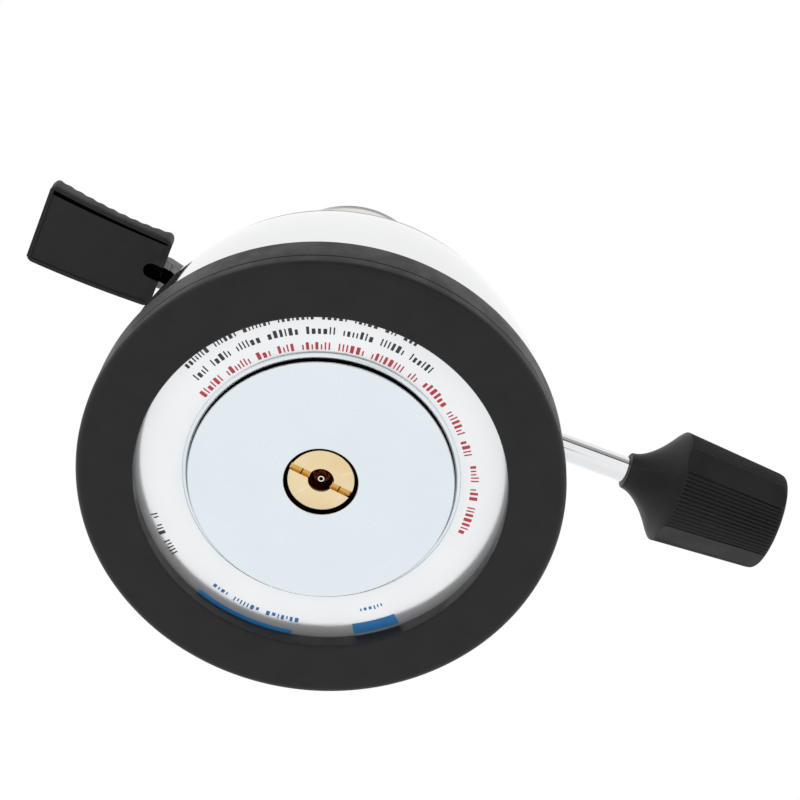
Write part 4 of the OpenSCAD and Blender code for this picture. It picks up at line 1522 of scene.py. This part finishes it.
    def wire(self) -> None:
        """The spark lead, its ceramic and the electrode."""
        self.dress(swept("spark_lead", flowing(self.lead, 5), 0.88, 18), SILICONE, "ignition_lead")
        corners = [(0.53, 69, 0.1), (1.75, 69, 0.3), (1.75, 73.2, 0.1), (1.62, 73.5, 0.1), (1.62, 76.5, 0.1),
                   (1.75, 76.8, 0.1), (1.75, 82.6, 0.2), (1.3, 84, 0.3), (0.53, 84, 0.1)]
        x, y, _ = self.lead[-1]
        self.dress(turned("electrode_ceramic", rounded(corners, 4), centre=(x, y, 0), segments=64), CERAMIC,
                   "electrode_insulator")
        path = [(x, y, 69.1), (x, y, 84.5)] + [(x, y - 1.2 + 1.2 * math.cos(a), 85.3 + 1.2 * math.sin(a)) for a in
                (math.radians(d) for d in range(0, 91, 15))]
        path += [(x, y - 2.5, 86.5), (x, y - 3.6, 86.5), (x, y - 3.95, 86.5)]
        sizes = [0.5] * (len(path) - 2) + [0.48, 0.3]
        self.dress(swept("electrode_tip", path, sizes, 24), ELECTRODE_WIRE, "electrode_pin")

    def build(self) -> None:
        """Makes the lever and the lead, and refinishes the inner pieces."""
        self.pad()
        self.arm()
        self.wire()
        self.refinish("lever_bracket", ZINC_STEEL)
        self.refinish("pivot_pin", ZINC_STEEL)
        self.refinish("piezo_case", CASE_PLASTIC)
        self.refinish("piezo_plunger", BUSH_NYLON)
        self.refinish("piezo_spring", SPRING_STEEL)


@dataclass
class Burner(Assembly):
    """Mixing tube, bowl, screen and wind ring."""

    block_top: float = 57.0
    bowl_r: float = 15.2
    rim_r: float = 16.9
    top_z: float = 90.0
    electrode: Point2 = (0.0, 9.5)
    slots: int = 12

    def tube(self) -> None:
        """The mixing tube with its four air holes."""
        corners = [(4.2, self.block_top, 0.1), (5.0, self.block_top, 0.15), (5.0, 75, 0.15), (4.2, 75, 0.1)]
        thing = turned("mixing_pipe", rounded(corners, 4), segments=96)
        holes = [moved(drill(1.3, 3, 9, 28), around(turn, 0, self.block_top + 4.6) @ lying("X"))
                 for turn in (45, 135, 225, 315)]
        self.dress(cut(thing, holes, 0.08), BURNER_STEEL, "mixing_tube")

    def bowl(self) -> None:
        """The pressed bowl that spreads the gas."""
        r = self.bowl_r
        corners = [(5.03, 69, 0.1), (5.9, 69, 0.15), (5.9, 71.5, 0.5), (14.6, 77.4, 0.8), (r, 78.6, 0.8), (r, 84, 0.15),
                   (r - 0.8, 84, 0.15), (r - 0.8, 79, 0.6), (14, 78.3, 0.5), (5.9, 72.6, 0.3), (5.03, 72.6, 0.1)]
        thing = turned("gas_bowl", rounded(corners, 5), segments=160)
        x, y = self.electrode
        hole = moved(drill(1.78, 66, 82, 36), Matrix.Translation((x, y, 0)))
        self.dress(cut(thing, [hole]), BURNER_STEEL, "burner_bowl")

    def screen(self) -> None:
        """The perforated screen under the flame."""
        corners = [(0, 82, 0), (14.3, 82, 0.2), (14.3, 83.0, 0.4), (12, 83.2, 0), (0, 83.2, 0)]
        thing = turned("flame_screen", rounded(corners, 4), segments=120)
        x, y = self.electrode
        holes = [moved(drill(1.85, 80, 86, 32), Matrix.Translation((x, y, 0)))]
        for ring in range(1, 5):
            for k in range(6 * ring):
                a = math.radians(60 * k / ring)
                px, py = 2.9 * ring * math.cos(a), 2.9 * ring * math.sin(a)
                if math.hypot(px - x, py - y) > 3:
                    holes.append(moved(drill(0.8, 80, 86, 18), Matrix.Translation((px, py, 0))))
        self.dress(cut(thing, holes, 0.05), SCREEN_STEEL, "burner_screen")

    def guard(self) -> None:
        """The flared and slotted wind ring with its rolled rim."""
        outer = flowing([(15.95, 83.5), (16.05, 85.2), (16.3, 87.3), (16.62, 89.2)], 4)
        inner = flowing([(15.95, 89.3), (15.6, 87.3), (15.35, 85.2), (15.23, 84.0)], 4)
        rim = arc((self.rim_r - 0.36, self.top_z - 0.36), 0.35, -10, 200, 10)
        outline = [(15.23, 79.1), (15.33, 79.0), (15.85, 79.0), (15.95, 79.1)] + outer + rim + inner
        thing = turned("slotted_wind_ring", outline, segments=192)
        gap = rounded([(-1.1, 84.6, 0.35), (1.1, 84.6, 0.35), (1.1, 87.0, 0.35), (-1.1, 87.0, 0.35)], 4)
        slots = [moved(bar_cutter(gap, 12, 20), around(360 * (k + 0.5) / self.slots)) for k in range(self.slots)]
        self.dress(cut(thing, slots, 0.08), WIND_STEEL, "wind_ring")

    def build(self) -> None:
        """Makes the burner head."""
        self.tube()
        self.bowl()
        self.screen()
        self.guard()


# ---------------------------------------------------------------------------
# Studio
# ---------------------------------------------------------------------------


@dataclass
class Studio:
    """Pale floor, soft lights and the camera below the burner."""

    floor_r: float = 1.4
    floor_tone: RGB = (0.86, 0.86, 0.87)
    distance: float = 0.5
    azimuth: float = -13.5
    elevation: float = -60.38
    roll: float = 8.04
    lens: float = 123.75
    aim: Point2 = (-0.029164, 0.031967)
    back_white: float = 1.0

    def floor(self) -> None:
        """A pale round floor that shows from above and fades out at its rim."""
        rim = arc((0, 0), self.floor_r / MM, 0, 360, 96)[:-1]
        mesh = bpy.data.meshes.new("pale_floor")
        mesh.from_pydata([(x * MM, y * MM, -0.00015) for x, y in rim], [], [tuple(range(len(rim)))])
        thing = bpy.data.objects.new("pale_floor", mesh)
        bpy.context.scene.collection.objects.link(thing)
        paint = bpy.data.materials.new("floor_paint")
        paint.use_nodes = True
        paint.node_tree.nodes.clear()
        graph = Graph(paint.node_tree)
        matt = graph.node("ShaderNodeBsdfDiffuse")
        matt.inputs["Color"].default_value = (*self.floor_tone, 1.0)
        clear = graph.node("ShaderNodeBsdfTransparent")
        back = graph.node("ShaderNodeNewGeometry").outputs["Backfacing"]
        seen = graph.node("ShaderNodeLightPath").outputs["Is Camera Ray"]
        length = graph.node("ShaderNodeVectorMath", operation="LENGTH")
        graph.put(length.inputs[0], graph.node("ShaderNodeTexCoord").outputs["Object"])
        near = graph.ramp(length.outputs["Value"], 0.16, 0.75, 1.0, 0.0)
        front = graph.math("MULTIPLY", seen, graph.math("SUBTRACT", 1.0, back))
        blend = graph.node("ShaderNodeMixShader")
        graph.put(blend.inputs[0], graph.math("MULTIPLY", front, near))
        graph.put(blend.inputs[1], clear.outputs[0])
        graph.put(blend.inputs[2], matt.outputs[0])
        output = graph.node("ShaderNodeOutputMaterial")
        graph.put(output.inputs["Surface"], blend.outputs[0])
        mesh.materials.append(paint)

    def sky(self) -> None:
        """White behind the burner; a soft studio all round it for its reflections."""
        world = bpy.data.worlds.new("studio")
        bpy.context.scene.world = world
        world.use_nodes = True
        world.node_tree.nodes.clear()
        graph = Graph(world.node_tree)
        split = graph.node("ShaderNodeSeparateXYZ")
        where = graph.node("ShaderNodeTexCoord").outputs["Generated"]
        graph.put(split.inputs[0], where)
        _, y, z = split.outputs

        def patch(centre: Point3, wide: float, narrow: float) -> bpy.types.NodeSocket:
            """1 within `narrow` degrees of a direction, fading to 0 at `wide` degrees."""
            dot = graph.node("ShaderNodeVectorMath", operation="DOT_PRODUCT")
            graph.put(dot.inputs[0], where)
            dot.inputs[1].default_value = Vector(centre).normalized()
            return graph.ramp(dot.outputs["Value"], math.cos(math.radians(wide)), math.cos(math.radians(narrow)))

        side = graph.ramp(y, -0.15, 0.45)
        lower = graph.mix(side, (1.0, 1.0, 1.0), (0.93, 0.95, 0.96))
        upper = graph.mix(side, (0.98, 0.98, 0.98), (1.0, 1.0, 1.0))
        studio = graph.mix(graph.ramp(z, -0.05, 0.15), lower, upper)
        shelf = graph.math("MULTIPLY", graph.ramp(z, 0.05, 0.09), graph.ramp(z, 0.5, 0.66, 1.0, 0.0))
        shelf = graph.math("MULTIPLY", shelf, graph.ramp(y, -0.55, -0.7))
        studio = graph.mix(shelf, studio, (0.42, 0.42, 0.43))
        studio = graph.mix(patch((0.115, -0.43, -0.895), 10, 7), studio, (0.14, 0.14, 0.145))
        line = graph.math("MULTIPLY", graph.ramp(z, -0.09, -0.05), graph.ramp(z, 0.09, 0.12, 1.0, 0.0))
        line = graph.math("MULTIPLY", line, graph.ramp(y, -0.8, -0.9))
        studio = graph.mix(line, studio, (0.02, 0.02, 0.02))
        seen = graph.node("ShaderNodeLightPath").outputs["Is Camera Ray"]
        colour = graph.mix(seen, studio, (self.back_white,) * 3)
        light = graph.node("ShaderNodeBackground")
        graph.put(light.inputs["Color"], colour)
        output = graph.node("ShaderNodeOutputWorld")
        graph.put(output.inputs["Surface"], light.outputs[0])

    def lamp(self, name: str, spot: Point3, size: tuple[float, float], power: float) -> None:
        """A soft rectangular light that faces the burner.

        Args:
            name: the light's name.
            spot: where it hangs, in metres.
            size: its width and height in metres.
            power: its power in watts.
        """
        data = bpy.data.lights.new(name, "AREA")
        data.shape, data.size, data.size_y, data.energy = "RECTANGLE", size[0], size[1], power
        thing = bpy.data.objects.new(name, data)
        thing.location = spot
        thing.rotation_mode = "QUATERNION"
        thing.rotation_quaternion = (Vector((0, 0, 0.04)) - Vector(spot)).to_track_quat("-Z", "Y")
        thing.visible_camera = False
        thing.visible_glossy = False
        bpy.context.scene.collection.objects.link(thing)

    def camera(self) -> None:
        """The camera, looking up at the base from below."""
        az, el, roll = (math.radians(v) for v in (self.azimuth, self.elevation, self.roll))
        back = Vector((math.sin(az) * math.cos(el), -math.cos(az) * math.cos(el), math.sin(el)))
        ahead = -back
        right = ahead.cross(Vector((0, 0, 1))).normalized()
        up = right.cross(ahead)
        rolled_right = math.cos(roll) * right + math.sin(roll) * up
        rolled_up = -math.sin(roll) * right + math.cos(roll) * up
        basis = Matrix((rolled_right, -rolled_up, ahead))
        ray = Vector((*self.aim, 1.0)).normalized()
        tilt = Vector((0, 0, 1)).rotation_difference(ray).to_matrix()
        rows = tilt @ basis
        data = bpy.data.cameras.new("camera")
        data.lens, data.sensor_width = self.lens, 36.0
        data.clip_start, data.clip_end = 0.01, 20.0
        thing = bpy.data.objects.new("camera", data)
        turn = Matrix((rows[0], -rows[1], -rows[2])).transposed()
        thing.matrix_world = Matrix.Translation(back * self.distance) @ turn.to_4x4()
        bpy.context.scene.collection.objects.link(thing)
        bpy.context.scene.camera = thing

    def build(self) -> None:
        """Sets the floor, lights and camera."""
        self.camera()
        self.floor()
        self.sky()
        self.lamp("front_softbox", (-0.25, -0.9, 0.55), (0.7, 0.5), 1.2)
        self.lamp("top_softbox", (0.1, -0.15, 0.9), (0.6, 0.6), 2.0)
        bpy.context.scene.view_settings.view_transform = "Standard"


def main() -> None:
    Studio().build()
    for assembly in (Base(), Shell(), FillingValve(), Housing(), FlameValve(), Igniter(), Burner()):
        assembly.build()


if __name__ == "__main__":
    main()
